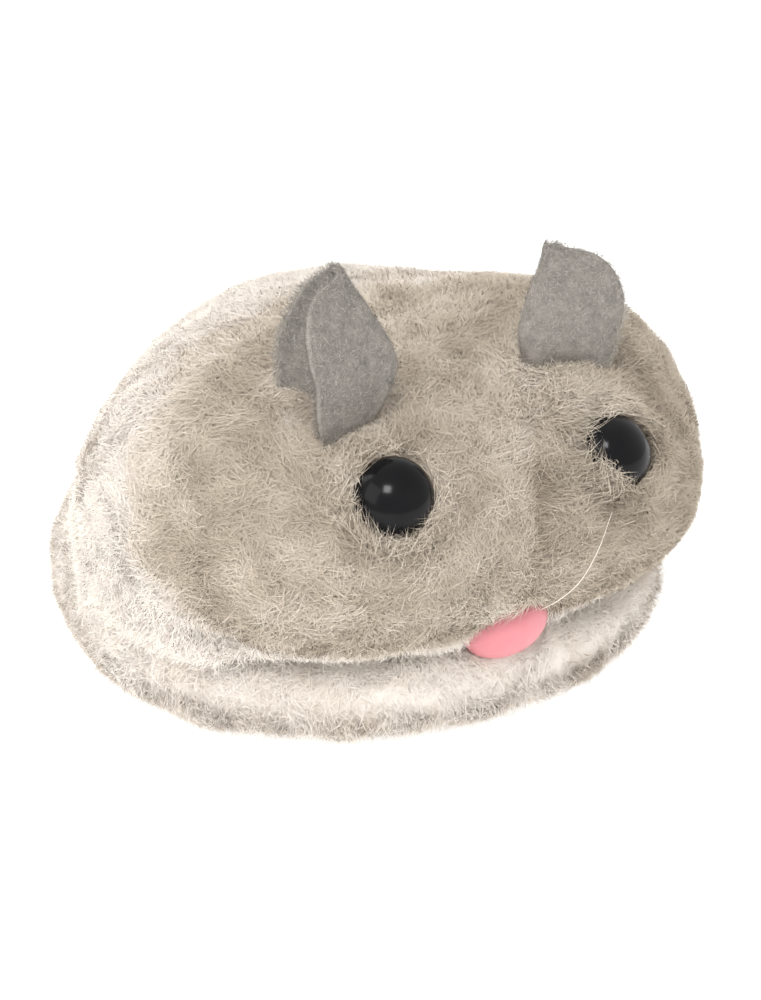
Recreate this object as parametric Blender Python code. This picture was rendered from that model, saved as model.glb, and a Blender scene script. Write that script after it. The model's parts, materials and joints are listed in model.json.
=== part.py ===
"""A plush clockwork mouse with a spring motor, modelled in Blender.

Every size below is in millimetres and becomes metres through MM. The nose points to -Y, +X is the
mouse's left, +Z is up, and the origin is the centre of the base plate's flat underside.
"""

import math

import bmesh
import bpy
import numpy as np
from mathutils import Matrix, Vector

MM = 0.001
GAP = 0.3
BORE_GAP = 0.15

# Plush body: half sizes of the furry outline about its centre.
BODY_CENTRE_Z = 16.2
BODY_HALF_WIDTH = 33.7
BODY_REAR = 33.9
BODY_FRONT = 32.5
BODY_ABOVE = 20.8
BODY_BELOW = 14.0
PILE_TIPS = 1.0
HEM_Z = 9.8
# Swellings of the body: name, direction from the centre, height and spread in degrees.
BODY_SWELLS = (
    ("waist", (0.75, 0.55, 0.10), -3.0, 28.0),
    ("back", (0.00, 0.45, 0.85), 1.0, 32.0),
    ("cheek", (0.60, -0.75, 0.00), 4.1, 25.0),
    ("shoulder", (0.80, -0.30, 0.50), 6.0, 28.0),
    ("jaw", (0.55, -0.70, -0.50), -1.5, 30.0),
)

# White skirt round the hem.
SKIRT_HALF_WIDTH = 34.3
SKIRT_REAR = 40.6
SKIRT_FRONT = 30.6
SKIRT_INNER = (25.3, 26.5, 24.4)
SKIRT_MIDDLE_Z = 4.4
SKIRT_HALF_HEIGHT = 5.0

# Plastic dome under the plush, and the plate it stands on: half width, rear and front.
SHELL_PLAN = (25.5, 26.5, 25.0)
SHELL_ABOVE = 14.0
SHELL_WALL = 1.2
SHELL_FOOT_Z = 1.9
SHELL_TUCK = 0.06
SHELL_POWER = 2.6
RIM_WIDTH = 3.4
RIM_TOP_Z = 5.5
PLATE_PLAN = (24.9, 26.0, 24.0)
PLATE_THICK = 1.6

# Running gear.
GROUND_Z = -1.5
WHEEL_RADIUS = 6.5
WHEEL_INNER_X = 10.0
WHEEL_WIDTH = 3.5
HUB_RADIUS = 4.7
AXLE_RADIUS = 1.0
DRIVE_AXLE_Y = -8.0
ROLLER_RADIUS = 4.0
ROLLER_HALF_WIDTH = 1.9
ROLLER_Y = 16.3
ROLLER_PIN_RADIUS = 0.7
CHEEK_X = (2.3, 3.5)
CHEEK_TOP_Z = 4.6
SLOT_MARGIN = 0.9

# Gear train.
MODULE = 0.45
PRESSURE_ANGLE = math.radians(25.0)
ADDENDUM = 0.80
DEDENDUM = 1.05
TOOTH_BACKLASH = 0.07
GREAT_TEETH = 36
SECOND_TEETH = 30
THIRD_TEETH = 24
PINION_TEETH = 10
AXLE_TEETH = 12
ARBOR_Y = 8.5
ARBOR_Z = 13.2
THIRD_ANGLE = math.radians(57.0)
ARBOR_RADIUS = 1.2
PIVOT_RADIUS = 0.6

# Motor frame.
FRAME_INNER_X = 8.0
FRAME_THICK = 0.8
FRAME_OUTLINE = ((-16.5, 1.9), (17.6, 1.9), (17.6, 20.5), (10.0, 27.4), (-6.5, 27.4), (-16.5, 14.0))
PILLARS = ((-13.5, 10.2), (-9.3, 19.6), (15.2, 20.9), (0.5, 4.2))
PILLAR_RADIUS = 1.0
FOOT_Y = ((-16.4, -12.9), (13.2, 16.7))
FOOT_X = (4.5, 8.4)
FOOT_Z = (1.9, 2.7)
FOOT_SCREW_X = 6.2

# Layers of the train along X, low and high.
GREAT_LAYER = (4.0, 5.2)
RATCHET_LAYER = (5.5, 6.6)
SPRING_LAYER = (-1.4, 3.6)
SECOND_LAYER = (-3.2, -2.0)
THIRD_LAYER = (-5.6, -4.4)
PINION_OVERHANG = 0.3

# Ratchet, click and mainspring.
RATCHET_TEETH = 12
RATCHET_OUTER = 3.6
RATCHET_ROOT = 2.7
CLICK_PIVOT = (3.96, 3.96)
CLICK_BOSS = 1.1
CLICK_PIN_RADIUS = 0.45
SPRING_INNER = 2.0
SPRING_OUTER = 6.9
SPRING_TURNS = 4.5
SPRING_STRIP = 0.22

# Winding key.
KEY_HUB_X = (35.4, 39.0)
KEY_HUB_RADIUS = 2.3
KEY_WING_CENTRE = 40.0
KEY_WING_REACH = 7.2
KEY_WING_WAIST = 2.7
KEY_WING_THICK = 1.8
KEY_EYE_RADIUS = 1.6
KEY_EYE_OFFSET = 4.2
ARBOR_END_X = 38.2

# Face.
EYE_PLACES = {"left": (13.9, -28.5, 26.3), "right": (-12.7, -29.0, 27.5)}
EYE_RADIUS = 4.0
EYE_HEIGHT = 3.2
EYE_STANDOFF = 0.7
SHANK_RADIUS = 1.1
EYE_SHANK = 14.5
NOSE_PLACE = (0.0, -29.0, 10.9)
NOSE_DIRECTION = (0.0, -0.93, -0.25)
NOSE_HALF_WIDTH = 4.8
NOSE_FLATNESS = 0.74
NOSE_HEIGHT = 3.4
NOSE_SHANK = 9.5
NOSE_ROLL = math.radians(10.0)
WASHER_RADIUS = 3.3
WASHER_THICK = 0.8

# Felt ears, left one: height, the fold line's X and Y, and the reach of the front and back halves.
EAR_STATIONS = (
    (29.0, 12.8, -18.6, 2.5, 3.0),
    (31.0, 11.8, -19.0, 5.0, 5.5),
    (34.0, 9.4, -19.6, 8.6, 9.5),
    (37.5, 8.1, -19.9, 10.4, 11.3),
    (40.0, 8.5, -19.4, 10.6, 10.6),
    (43.0, 10.0, -18.2, 8.8, 7.6),
    (45.5, 11.4, -17.0, 5.6, 4.2),
    (47.4, 12.3, -16.0, 0.9, 0.9),
)
EAR_FRONT_ANGLE = math.radians(-11.0)
EAR_BACK_ANGLE = math.radians(28.0)
EAR_BEND_RADIUS = 1.3
EAR_FELT = 1.1

# The whisker: a nylon filament, root to tip.
WHISKER_RADIUS = 0.16
WHISKER_ROUTE = (
    (2.2, -32.2, 15.0),
    (5.4, -34.6, 15.2),
    (8.4, -34.9, 18.0),
    (10.6, -34.0, 21.6),
    (11.8, -32.6, 24.6),
)

# Sides of the plush and shell forms, seen from above.
AROUND = 42


# ---------------------------------------------------------------- scene and materials


def clear_scene():
    for obj in list(bpy.data.objects):
        bpy.data.objects.remove(obj, do_unlink=True)


def finish(name, colour, roughness, metallic=0.0):
    material = bpy.data.materials.new(name)
    material.use_nodes = True
    shader = material.node_tree.nodes["Principled BSDF"]
    shader.inputs["Base Color"].default_value = (*colour, 1.0)
    shader.inputs["Roughness"].default_value = roughness
    shader.inputs["Metallic"].default_value = metallic
    material.diffuse_color = (*colour, 1.0)
    return material


def make_finishes():
    return {
        "grey_plush": finish("grey_plush", (0.46, 0.39, 0.32), 0.95),
        "white_plush": finish("white_plush", (0.78, 0.71, 0.65), 0.95),
        "ear_felt": finish("ear_felt", (0.33, 0.31, 0.29), 0.95),
        "eye_plastic": finish("eye_plastic", (0.012, 0.012, 0.012), 0.12),
        "nose_plastic": finish("nose_plastic", (0.84, 0.30, 0.34), 0.30),
        "nylon": finish("nylon", (0.80, 0.77, 0.70), 0.35),
        "shell_plastic": finish("shell_plastic", (0.62, 0.60, 0.56), 0.50),
        "plate_plastic": finish("plate_plastic", (0.30, 0.31, 0.30), 0.50),
        "washer_plastic": finish("washer_plastic", (0.80, 0.80, 0.78), 0.45),
        "wheel_plastic": finish("wheel_plastic", (0.16, 0.16, 0.17), 0.45),
        "tyre_rubber": finish("tyre_rubber", (0.02, 0.02, 0.02), 0.80),
        "key_plastic": finish("key_plastic", (0.80, 0.79, 0.76), 0.35),
        "steel": finish("steel", (0.56, 0.57, 0.58), 0.35, 1.0),
        "spring_steel": finish("spring_steel", (0.22, 0.24, 0.30), 0.30, 1.0),
        "brass": finish("brass", (0.72, 0.52, 0.22), 0.30, 1.0),
    }


def put(name, bm, material, location=(0, 0, 0), parent=None, smooth=35.0):
    """Turns a bmesh made in millimetres into an object at location, under parent."""
    bmesh.ops.recalc_face_normals(bm, faces=bm.faces)
    bmesh.ops.scale(bm, vec=(MM, MM, MM), verts=bm.verts)
    mesh = bpy.data.meshes.new(name)
    bm.to_mesh(mesh)
    bm.free()
    return place(name, mesh, material, location, parent, smooth)


def place(name, mesh, material, location=(0, 0, 0), parent=None, smooth=35.0):
    obj = bpy.data.objects.new(name, mesh)
    bpy.context.scene.collection.objects.link(obj)
    obj.location = Vector(location) * MM
    obj.parent = parent
    if material is not None and not mesh.materials:
        mesh.materials.append(material)
    if smooth:
        mesh.shade_smooth()
        mesh.set_sharp_from_angle(angle=math.radians(smooth))
    return obj


def axis_empty(name, y, z):
    """An empty on a cross axis of the mechanism, which the pieces on that axis hang from."""
    empty = bpy.data.objects.new(name, None)
    bpy.context.scene.collection.objects.link(empty)
    empty.location = Vector((0, y, z)) * MM
    empty.empty_display_size = 2 * MM
    return empty


def aim(obj, direction, roll=0.0):
    """Turns the object's local X axis towards direction, with local Z kept as upright as it can be."""
    x_axis = Vector(direction).normalized()
    sideways = Vector((0, 0, 1)).cross(x_axis)
    y_axis = sideways.normalized() if sideways.length > 1e-6 else Vector((0, 1, 0))
    z_axis = x_axis.cross(y_axis)
    turn = Matrix((x_axis, y_axis, z_axis)).transposed()
    obj.rotation_euler = (turn @ Matrix.Rotation(roll, 3, "X")).to_euler()


def boolean(target, tool, operation="DIFFERENCE"):
    modifier = target.modifiers.new(tool.name, "BOOLEAN")
    modifier.operation = operation
    modifier.solver = "EXACT"
    modifier.object = tool
    tool.hide_render = True
    tool.display_type = "WIRE"


# ---------------------------------------------------------------- shapes


def turned_bm(profile, segments, ring=False):
    """A solid turned about the X axis from points (radius, x). A ring's profile is a closed loop."""
    bm = bmesh.new()
    rows = []
    for radius, x in profile:
        if radius == 0:
            rows.append([bm.verts.new((x, 0, 0))])
            continue
        turns = [2 * math.pi * i / segments for i in range(segments)]
        rows.append([bm.verts.new((x, radius * math.cos(t), radius * math.sin(t))) for t in turns])
    pairs = list(zip(rows, rows[1:]))
    if ring:
        pairs.append((rows[-1], rows[0]))
    for low, high in pairs:
        for i in range(segments):
            j = (i + 1) % segments
            corners = [low[i % len(low)], low[j % len(low)], high[j % len(high)], high[i % len(high)]]
            corners = list(dict.fromkeys(corners))
            if len(corners) > 2:
                bm.faces.new(corners)
    return bm


def slab_bm(loops, low, high, axis):
    """A flat piece between low and high on the axis: the first loop is its edge, the others are holes."""
    bm = bmesh.new()
    edges = []
    for loop in loops:
        if axis == "X":
            verts = [bm.verts.new((low, u, v)) for u, v in loop]
        elif axis == "Y":
            verts = [bm.verts.new((u, low, v)) for u, v in loop]
        else:
            verts = [bm.verts.new((u, v, low)) for u, v in loop]
        edges += [bm.edges.new((a, b)) for a, b in zip(verts, verts[1:] + verts[:1])]
    bmesh.ops.triangle_fill(bm, use_beauty=True, use_dissolve=False, edges=edges)
    made = bmesh.ops.extrude_face_region(bm, geom=list(bm.faces))
    moved = [v for v in made["geom"] if isinstance(v, bmesh.types.BMVert)]
    step = {"X": (high - low, 0, 0), "Y": (0, high - low, 0), "Z": (0, 0, high - low)}[axis]
    bmesh.ops.translate(bm, vec=step, verts=moved)
    return bm


def circle(radius, segments=10, centre=(0, 0)):
    turns = [2 * math.pi * i / segments for i in range(segments)]
    return [(centre[0] + radius * math.cos(t), centre[1] + radius * math.sin(t)) for t in turns]


def rectangle(low_u, low_v, high_u, high_v):
    return [(low_u, low_v), (high_u, low_v), (high_u, high_v), (low_u, high_v)]


def egg_radius(theta, half_width, rear, front, power=2.0):
    """Plan radius at angle theta from +X of an oval whose rear (+Y) and front (-Y) reaches differ."""
    reach = rear if math.sin(theta) > 0 else front
    total = abs(math.cos(theta) / half_width) ** power + abs(math.sin(theta) / reach) ** power
    return total ** (-1.0 / power)


def egg(half_width, rear, front, segments=AROUND):
    turns = [2 * math.pi * i / segments for i in range(segments)]
    radii = [egg_radius(t, half_width, rear, front) for t in turns]
    return [(r * math.cos(t), r * math.sin(t)) for r, t in zip(radii, turns)]


def rod_cutter(name, start, direction, length, radius):
    """A round cutter that runs from start along direction."""
    bm = turned_bm([(0, 0), (radius, 0), (radius, length), (0, length)], 12)
    cutter = put(name, bm, None, start, smooth=0)
    aim(cutter, direction)
    return cutter


# ---------------------------------------------------------------- body forms


def body_radius(direction):
    """Distance from the body's centre to the tips of the pile, along a unit direction."""
    x, y, z = direction
    reach = BODY_REAR if y > 0 else BODY_FRONT
    height = BODY_ABOVE if z > 0 else BODY_BELOW
    radius = ((x / BODY_HALF_WIDTH) ** 2 + (y / reach) ** 2 + (z / height) ** 2) ** -0.5
    for _name, towards, swell, spread in BODY_SWELLS:
        sides = (1, -1) if towards[0] else (1,)
        for side in sides:
            target = Vector((towards[0] * side, towards[1], towards[2])).normalized()
            angle = math.degrees(math.acos(max(-1.0, min(1.0, target.dot(direction)))))
            radius += swell * math.exp(-((angle / spread) ** 2))
    return radius


def body_point(theta, lift, depth=PILE_TIPS):
    """A point depth under the pile tips, at plan angle theta and lift above the horizontal."""
    direction = Vector((math.cos(lift) * math.cos(theta), math.cos(lift) * math.sin(theta), math.sin(lift)))
    return direction * (body_radius(direction) - depth) + Vector((0, 0, BODY_CENTRE_Z))


def hem_lift(theta):
    """The lift at which the body comes down to the hem's height."""
    low, high = math.radians(-60), 0.0
    for _step in range(30):
        middle = (low + high) / 2
        if body_point(theta, middle).z < HEM_Z:
            low = middle
        else:
            high = middle
    return high


def body_height(x, y):
    """Height of the cover's surface above the point (x, y)."""
    low, high = BODY_CENTRE_Z, BODY_CENTRE_Z + 2 * BODY_ABOVE
    for _step in range(40):
        middle = (low + high) / 2
        offset = Vector((x, y, middle - BODY_CENTRE_Z))
        if offset.length < body_radius(offset.normalized()) - PILE_TIPS:
            low = middle
        else:
            high = middle
    return high


def body_side(y, z):
    """How far the cover's surface reaches towards +X at (y, z)."""
    low, high = 0.0, 2 * BODY_HALF_WIDTH
    for _step in range(40):
        middle = (low + high) / 2
        offset = Vector((middle, y, z - BODY_CENTRE_Z))
        if offset.length < body_radius(offset.normalized()) - PILE_TIPS:
            low = middle
        else:
            high = middle
    return high


def body_normal(place):
    """Outward normal of the plain oval body at a place on it, without its swellings."""
    reach = BODY_REAR if place[1] > 0 else BODY_FRONT
    height = BODY_ABOVE if place[2] > BODY_CENTRE_Z else BODY_BELOW
    slope = (
        place[0] / BODY_HALF_WIDTH**2,
        place[1] / reach**2,
        (place[2] - BODY_CENTRE_Z) / height**2,
    )
    return Vector(slope).normalized()


def shell_ring(share, z, inset=0.0):
    """One ring of the dome at height z, at a share of its plan, moved inwards by inset."""
    points = []
    for i in range(AROUND):
        theta = 2 * math.pi * i / AROUND
        radius = egg_radius(theta, *SHELL_PLAN) * share - inset
        points.append((radius * math.cos(theta), radius * math.sin(theta), z))
    return points


def shell_share(z):
    """Share of the dome's plan at a height below its widest ring."""
    fall = min(1.0, (BODY_CENTRE_Z - z) / (BODY_CENTRE_Z - HEM_Z))
    return 1.0 - SHELL_TUCK * fall * fall * (3 - 2 * fall)


def dome_rings(inset, above, steps):
    """Rings of the dome from its widest height up to near the top."""
    rings = []
    for step in range(steps):
        turn = math.radians(84.0) * step / (steps - 1)
        share = math.cos(turn) ** (2 / SHELL_POWER)
        rise = math.sin(turn) ** (2 / SHELL_POWER) if step else 0.0
        ring = []
        for i in range(AROUND):
            theta = 2 * math.pi * i / AROUND
            radius = (egg_radius(theta, *SHELL_PLAN) - inset) * share
            ring.append((radius * math.cos(theta), radius * math.sin(theta), BODY_CENTRE_Z + above * rise))
        rings.append(ring)
    return rings


def hollow_bm(outer, outer_top, inner, inner_top):
    """A dome-like wall: outer and inner rings run from the open foot to the top."""
    bm = bmesh.new()

    def skin(rings, top):
        rows = [[bm.verts.new(p) for p in ring] for ring in rings]
        for low, high in zip(rows, rows[1:]):
            for i in range(AROUND):
                j = (i + 1) % AROUND
                bm.faces.new((low[i], low[j], high[j], high[i]))
        peak = bm.verts.new(top)
        for i in range(AROUND):
            bm.faces.new((rows[-1][i], rows[-1][(i + 1) % AROUND], peak))
        return rows[0]

    foot_out = skin(outer, outer_top)
    foot_in = skin(inner, inner_top)
    for i in range(AROUND):
        j = (i + 1) % AROUND
        bm.faces.new((foot_out[i], foot_out[j], foot_in[j], foot_in[i]))
    return bm


# ---------------------------------------------------------------- gears


def involute(angle):
    return math.tan(angle) - angle


def gear_loop(teeth, phase):
    """Outline of a gear about its own centre, with a tooth centred on the angle phase."""
    pitch = MODULE * teeth / 2
    base = pitch * math.cos(PRESSURE_ANGLE)
    root = pitch - DEDENDUM * MODULE
    tip = pitch + ADDENDUM * MODULE
    half = math.pi / (2 * teeth) - TOOTH_BACKLASH / (2 * pitch)

    def half_angle(radius):
        held = max(radius, base)
        return half + involute(PRESSURE_ANGLE) - involute(math.acos(base / held))

    radii = [root, pitch, tip]
    loop = []
    for i in range(teeth):
        centre = phase + 2 * math.pi * i / teeth
        for radius in radii:
            angle = centre - half_angle(radius)
            loop.append((radius * math.cos(angle), radius * math.sin(angle)))
        for radius in reversed(radii):
            angle = centre + half_angle(radius)
            loop.append((radius * math.cos(angle), radius * math.sin(angle)))
    return loop


def meshing_phase(first_phase, first_teeth, centre_angle, second_teeth):
    """Phase of the second gear that puts its gap where the first gear's tooth is."""
    first_share = (centre_angle - first_phase) * first_teeth / (2 * math.pi)
    second_share = 0.5 - first_share
    return centre_angle + math.pi - second_share * 2 * math.pi / second_teeth


def centre_distance(first_teeth, second_teeth):
    return MODULE * (first_teeth + second_teeth) / 2


def angle_between(start, end):
    return math.atan2(end[1] - start[1], end[0] - start[0])


def train_places():
    """Centres (y, z) of the four arbors, from the drive axle up to the mainspring's arbor."""
    axle = (DRIVE_AXLE_Y, GROUND_Z + WHEEL_RADIUS)
    reach = centre_distance(THIRD_TEETH, AXLE_TEETH)
    third = (axle[0] + reach * math.cos(THIRD_ANGLE), axle[1] + reach * math.sin(THIRD_ANGLE))
    arbor = (ARBOR_Y, ARBOR_Z)
    to_third = centre_distance(SECOND_TEETH, PINION_TEETH)
    to_arbor = centre_distance(GREAT_TEETH, PINION_TEETH)
    span = math.dist(third, arbor)
    along = (to_third**2 - to_arbor**2 + span**2) / (2 * span)
    rise = math.sqrt(to_third**2 - along**2)
    angle = angle_between(third, arbor)
    second = (
        third[0] + along * math.cos(angle) - rise * math.sin(angle),
        third[1] + along * math.sin(angle) + rise * math.cos(angle),
    )
    return {"axle": axle, "third": third, "second": second, "arbor": arbor}


def train_phases(places):
    """Phases that put the whole train in mesh at rest."""
    axle_phase = 0.0
    to_third = angle_between(places["axle"], places["third"])
    third_phase = meshing_phase(axle_phase, AXLE_TEETH, to_third, THIRD_TEETH)
    to_second = angle_between(places["third"], places["second"])
    second_phase = meshing_phase(0.0, PINION_TEETH, to_second, SECOND_TEETH)
    to_arbor = angle_between(places["second"], places["arbor"])
    great_phase = meshing_phase(0.0, PINION_TEETH, to_arbor, GREAT_TEETH)
    return {"axle": axle_phase, "third": third_phase, "second": second_phase, "great": great_phase}


def wheel_bm(teeth, phase, layer, bore, window_radius=0.0, window_at=0.0):
    """A toothed disc with its bore and, on the larger wheels, three round windows."""
    loops = [gear_loop(teeth, phase), circle(bore)]
    if window_radius:
        for i in range(3):
            turn = 2 * math.pi * i / 3
            loops.append(circle(window_radius, 8, (window_at * math.cos(turn), window_at * math.sin(turn))))
    return slab_bm(loops, layer[0], layer[1], "X")


def arbor_with_pinion(name, layer, mate_layer, finishes, parent):
    """A steel arbor between the frame plates with a ten-leaf pinion in one piece with it."""
    reach = FRAME_INNER_X - BORE_GAP
    pivot_end = FRAME_INNER_X + FRAME_THICK + GAP
    low, high = mate_layer[0] - PINION_OVERHANG, mate_layer[1] + PINION_OVERHANG
    shaft = PIVOT_RADIUS + 0.3
    profile = [
        (0, -pivot_end), (PIVOT_RADIUS, -pivot_end), (PIVOT_RADIUS, -reach), (shaft, -reach),
        (shaft, reach), (PIVOT_RADIUS, reach), (PIVOT_RADIUS, pivot_end), (0, pivot_end),
    ]
    arbor = put(name, turned_bm(profile, 12), finishes["steel"], parent=parent)
    leaves_bm = slab_bm([gear_loop(PINION_TEETH, 0.0)], low, high, "X")
    leaves = put(name + "_leaves", leaves_bm, None, parent=parent)
    boolean(arbor, leaves, "UNION")
    return arbor


# ---------------------------------------------------------------- soft pieces


def make_cover(finishes):
    """The grey pile cover with its stuffing: true outline outside, the dome's form inside."""
    rows = 12
    outer = []
    for row in range(rows):
        ring = []
        for i in range(AROUND):
            theta = 2 * math.pi * i / AROUND
            foot = hem_lift(theta)
            lift = foot + (math.radians(84.0) - foot) * row / (rows - 1)
            ring.append(body_point(theta, lift))
        outer.append(ring)
    outer_top = body_point(0.0, math.pi / 2)
    clear = -GAP
    inner = [shell_ring(shell_share(z), z, clear) for z in (HEM_Z, 13.0)]
    inner += dome_rings(clear, SHELL_ABOVE + GAP, 6)
    inner_top = (0, 0, BODY_CENTRE_Z + SHELL_ABOVE + GAP)
    form = hollow_bm(outer, outer_top, inner, inner_top)
    return put("plush_cover", form, finishes["grey_plush"], smooth=60.0)


def make_skirt(finishes):
    """The stuffed white ring round the hem, wider behind than in front."""
    steps = 10
    bm = bmesh.new()
    sections = []
    for i in range(AROUND):
        theta = 2 * math.pi * i / AROUND
        inner = egg_radius(theta, *SKIRT_INNER)
        outer = egg_radius(theta, SKIRT_HALF_WIDTH, SKIRT_REAR, SKIRT_FRONT, 2.1)
        middle, half = (inner + outer) / 2, (outer - inner) / 2
        section = []
        for k in range(steps):
            turn = 2 * math.pi * k / steps
            across = math.copysign(abs(math.cos(turn)) ** 0.6, math.cos(turn))
            upward = math.copysign(abs(math.sin(turn)) ** 0.6, math.sin(turn))
            radius = middle + half * across
            height = SKIRT_MIDDLE_Z + SKIRT_HALF_HEIGHT * upward
            section.append(bm.verts.new((radius * math.cos(theta), radius * math.sin(theta), height)))
        sections.append(section)
    for i in range(AROUND):
        here, there = sections[i], sections[(i + 1) % AROUND]
        for k in range(steps):
            m = (k + 1) % steps
            bm.faces.new((here[k], here[m], there[m], there[k]))
    return put("plush_skirt", bm, finishes["white_plush"], smooth=60.0)


def ear_station(z):
    """Fold line X and Y and the two reaches of the ear at height z."""
    heights = [station[0] for station in EAR_STATIONS]
    return [float(np.interp(z, heights, [station[k] for station in EAR_STATIONS])) for k in (1, 2, 3, 4)]


def ear_section(distance, bend):
    """Plan offset from the fold line at a signed distance along the folded leaf."""
    side = -1 if distance < 0 else 1
    final = EAR_FRONT_ANGLE if distance < 0 else EAR_BACK_ANGLE
    sweep = math.pi / 2 - abs(final)
    arc = bend * sweep
    walked = abs(distance)
    if walked < arc:
        turn = walked / bend
        return (bend * (1 - math.cos(turn)), side * bend * math.sin(turn))
    rest = walked - arc
    return (
        bend * (1 - math.cos(sweep)) + rest * math.cos(final),
        side * bend * math.sin(sweep) + rest * math.sin(final),
    )


def make_ear(name, side, finishes):
    """A leaf of felt folded along its height, opening outwards."""
    columns, rows = 12, 8
    tip_z = EAR_STATIONS[-1][0]
    base_z = body_height(EAR_STATIONS[1][1], EAR_STATIONS[1][2])
    bm = bmesh.new()
    grid = []
    for row in range(rows + 1):
        height = row / rows
        fold_x, fold_y, front, back = ear_station(base_z + (tip_z - base_z) * height)
        line = []
        for column in range(columns + 1):
            share = 2 * column / columns - 1
            distance = share * (front if share < 0 else back)
            across, along = ear_section(distance, EAR_BEND_RADIUS)
            x, y = fold_x + across, fold_y + along
            foot = body_height(x, y) + EAR_FELT / 2 + GAP
            z = foot + (tip_z - foot) * height
            line.append(bm.verts.new((side * x, y, z)))
        grid.append(line)
    for low, high in zip(grid, grid[1:]):
        for i in range(columns):
            bm.faces.new((low[i], low[i + 1], high[i + 1], high[i]))
    ear = put(name, bm, finishes["ear_felt"], smooth=60.0)
    thick = ear.modifiers.new("felt", "SOLIDIFY")
    thick.thickness = EAR_FELT * MM
    thick.offset = 0.0
    return ear


def make_whisker(name, points, finishes):
    curve = bpy.data.curves.new(name, "CURVE")
    curve.dimensions = "3D"
    curve.bevel_depth = WHISKER_RADIUS * MM
    curve.bevel_resolution = 1
    curve.use_fill_caps = True
    places = smooth_route([Vector(p) for p in points], 4)
    spline = curve.splines.new("POLY")
    spline.points.add(len(places) - 1)
    for point, spot in zip(spline.points, places):
        point.co = (*(spot * MM), 1.0)
    whisker = bpy.data.objects.new(name, curve)
    bpy.context.scene.collection.objects.link(whisker)
    curve.materials.append(finishes["nylon"])
    return whisker


def smooth_route(points, pieces):
    """Points along a smooth curve through the given ones."""
    padded = [2 * points[0] - points[1], *points, 2 * points[-1] - points[-2]]
    route = []
    for a, b, c, d in zip(padded, padded[1:], padded[2:], padded[3:]):
        for k in range(pieces):
            t = k / pieces
            bent = (2 * a - 5 * b + 4 * c - d) * t**2 + (3 * b - a - 3 * c + d) * t**3
            route.append(0.5 * (2 * b + (c - a) * t + bent))
    return [*route, points[-1]]


# ---------------------------------------------------------------- shell and plate


def make_shell(finishes):
    """The moulded dome with a thick rim, which the screws bite into."""
    outer = [shell_ring(shell_share(z), z) for z in (SHELL_FOOT_Z, HEM_Z, 13.0)]
    outer += dome_rings(0.0, SHELL_ABOVE, 6)
    inner = [shell_ring(shell_share(z), z, RIM_WIDTH) for z in (SHELL_FOOT_Z, RIM_TOP_Z)]
    inner += [shell_ring(shell_share(z), z, SHELL_WALL) for z in (RIM_TOP_Z + 0.01, HEM_Z, 13.0)]
    inner += dome_rings(SHELL_WALL, SHELL_ABOVE - SHELL_WALL, 6)
    outer_top = (0, 0, BODY_CENTRE_Z + SHELL_ABOVE)
    inner_top = (0, 0, BODY_CENTRE_Z + SHELL_ABOVE - SHELL_WALL)
    form = hollow_bm(outer, outer_top, inner, inner_top)
    return put("body_shell", form, finishes["shell_plastic"], smooth=50.0)


def shell_screw_places():
    """Screws through the plate into the middle of the dome's rim."""
    places = []
    for degrees in (70, 110, -50, -130):
        theta = math.radians(degrees)
        radius = egg_radius(theta, *SHELL_PLAN) * shell_share(SHELL_FOOT_Z) - RIM_WIDTH / 2
        places.append((radius * math.cos(theta), radius * math.sin(theta)))
    return places


def foot_screw_places():
    places = []
    for low, high in FOOT_Y:
        for side in (1, -1):
            places.append((side * FOOT_SCREW_X, (low + high) / 2))
    return places


def make_plate(finishes):
    """The base plate: wheel slots, roller slot, screw holes and the roller's two cheeks."""
    slot_low = WHEEL_INNER_X - SLOT_MARGIN
    slot_high = WHEEL_INNER_X + WHEEL_WIDTH + SLOT_MARGIN
    slot_reach = WHEEL_RADIUS + SLOT_MARGIN
    loops = [egg(*PLATE_PLAN)]
    for side in (1, -1):
        ends = sorted((side * slot_low, side * slot_high))
        loops.append(rectangle(ends[0], DRIVE_AXLE_Y - slot_reach, ends[1], DRIVE_AXLE_Y + slot_reach))
    inner_cheek = CHEEK_X[0]
    reach = ROLLER_RADIUS + GAP + 0.2
    loops.append(rectangle(-inner_cheek, ROLLER_Y - reach, inner_cheek, ROLLER_Y + reach))
    for spot in shell_screw_places() + foot_screw_places():
        loops.append(circle(0.95, 10, spot))
    plate = put("base_plate", slab_bm(loops, 0.0, PLATE_THICK, "Z"), finishes["plate_plastic"])
    pin_z = GROUND_Z + ROLLER_RADIUS
    for side, word in ((1, "left"), (-1, "right")):
        low, high = sorted((side * CHEEK_X[0], side * CHEEK_X[1]))
        outline = rectangle(ROLLER_Y - 2.0, PLATE_THICK - 0.8, ROLLER_Y + 2.0, CHEEK_TOP_Z)
        hole = circle(ROLLER_PIN_RADIUS + BORE_GAP, 12, (ROLLER_Y, pin_z))
        cheek = put("roller_cheek_" + word, slab_bm([outline, hole], low, high, "X"), None)
        boolean(plate, cheek, "UNION")
    return plate


# ---------------------------------------------------------------- face


def turned_piece(name, profile, segments, material, location, direction, ring=False, roll=0.0, flat=1.0):
    bm = turned_bm(profile, segments, ring)
    if flat != 1.0:
        bmesh.ops.scale(bm, vec=(1, 1, flat), verts=bm.verts)
    piece = put(name, bm, material, location)
    aim(piece, direction, roll)
    return piece


def button_profile(radius, height, shank, steps=5):
    """A domed button with its shank, as points (radius, x)."""
    profile = [(0, -shank), (SHANK_RADIUS, -shank), (SHANK_RADIUS, 0), (radius * 0.94, 0), (radius, 0.35)]
    for step in range(1, steps):
        turn = math.pi / 2 * step / steps
        profile.append((radius * math.cos(turn), 0.35 + (height - 0.35) * math.sin(turn)))
    return [*profile, (0, height)]


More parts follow.
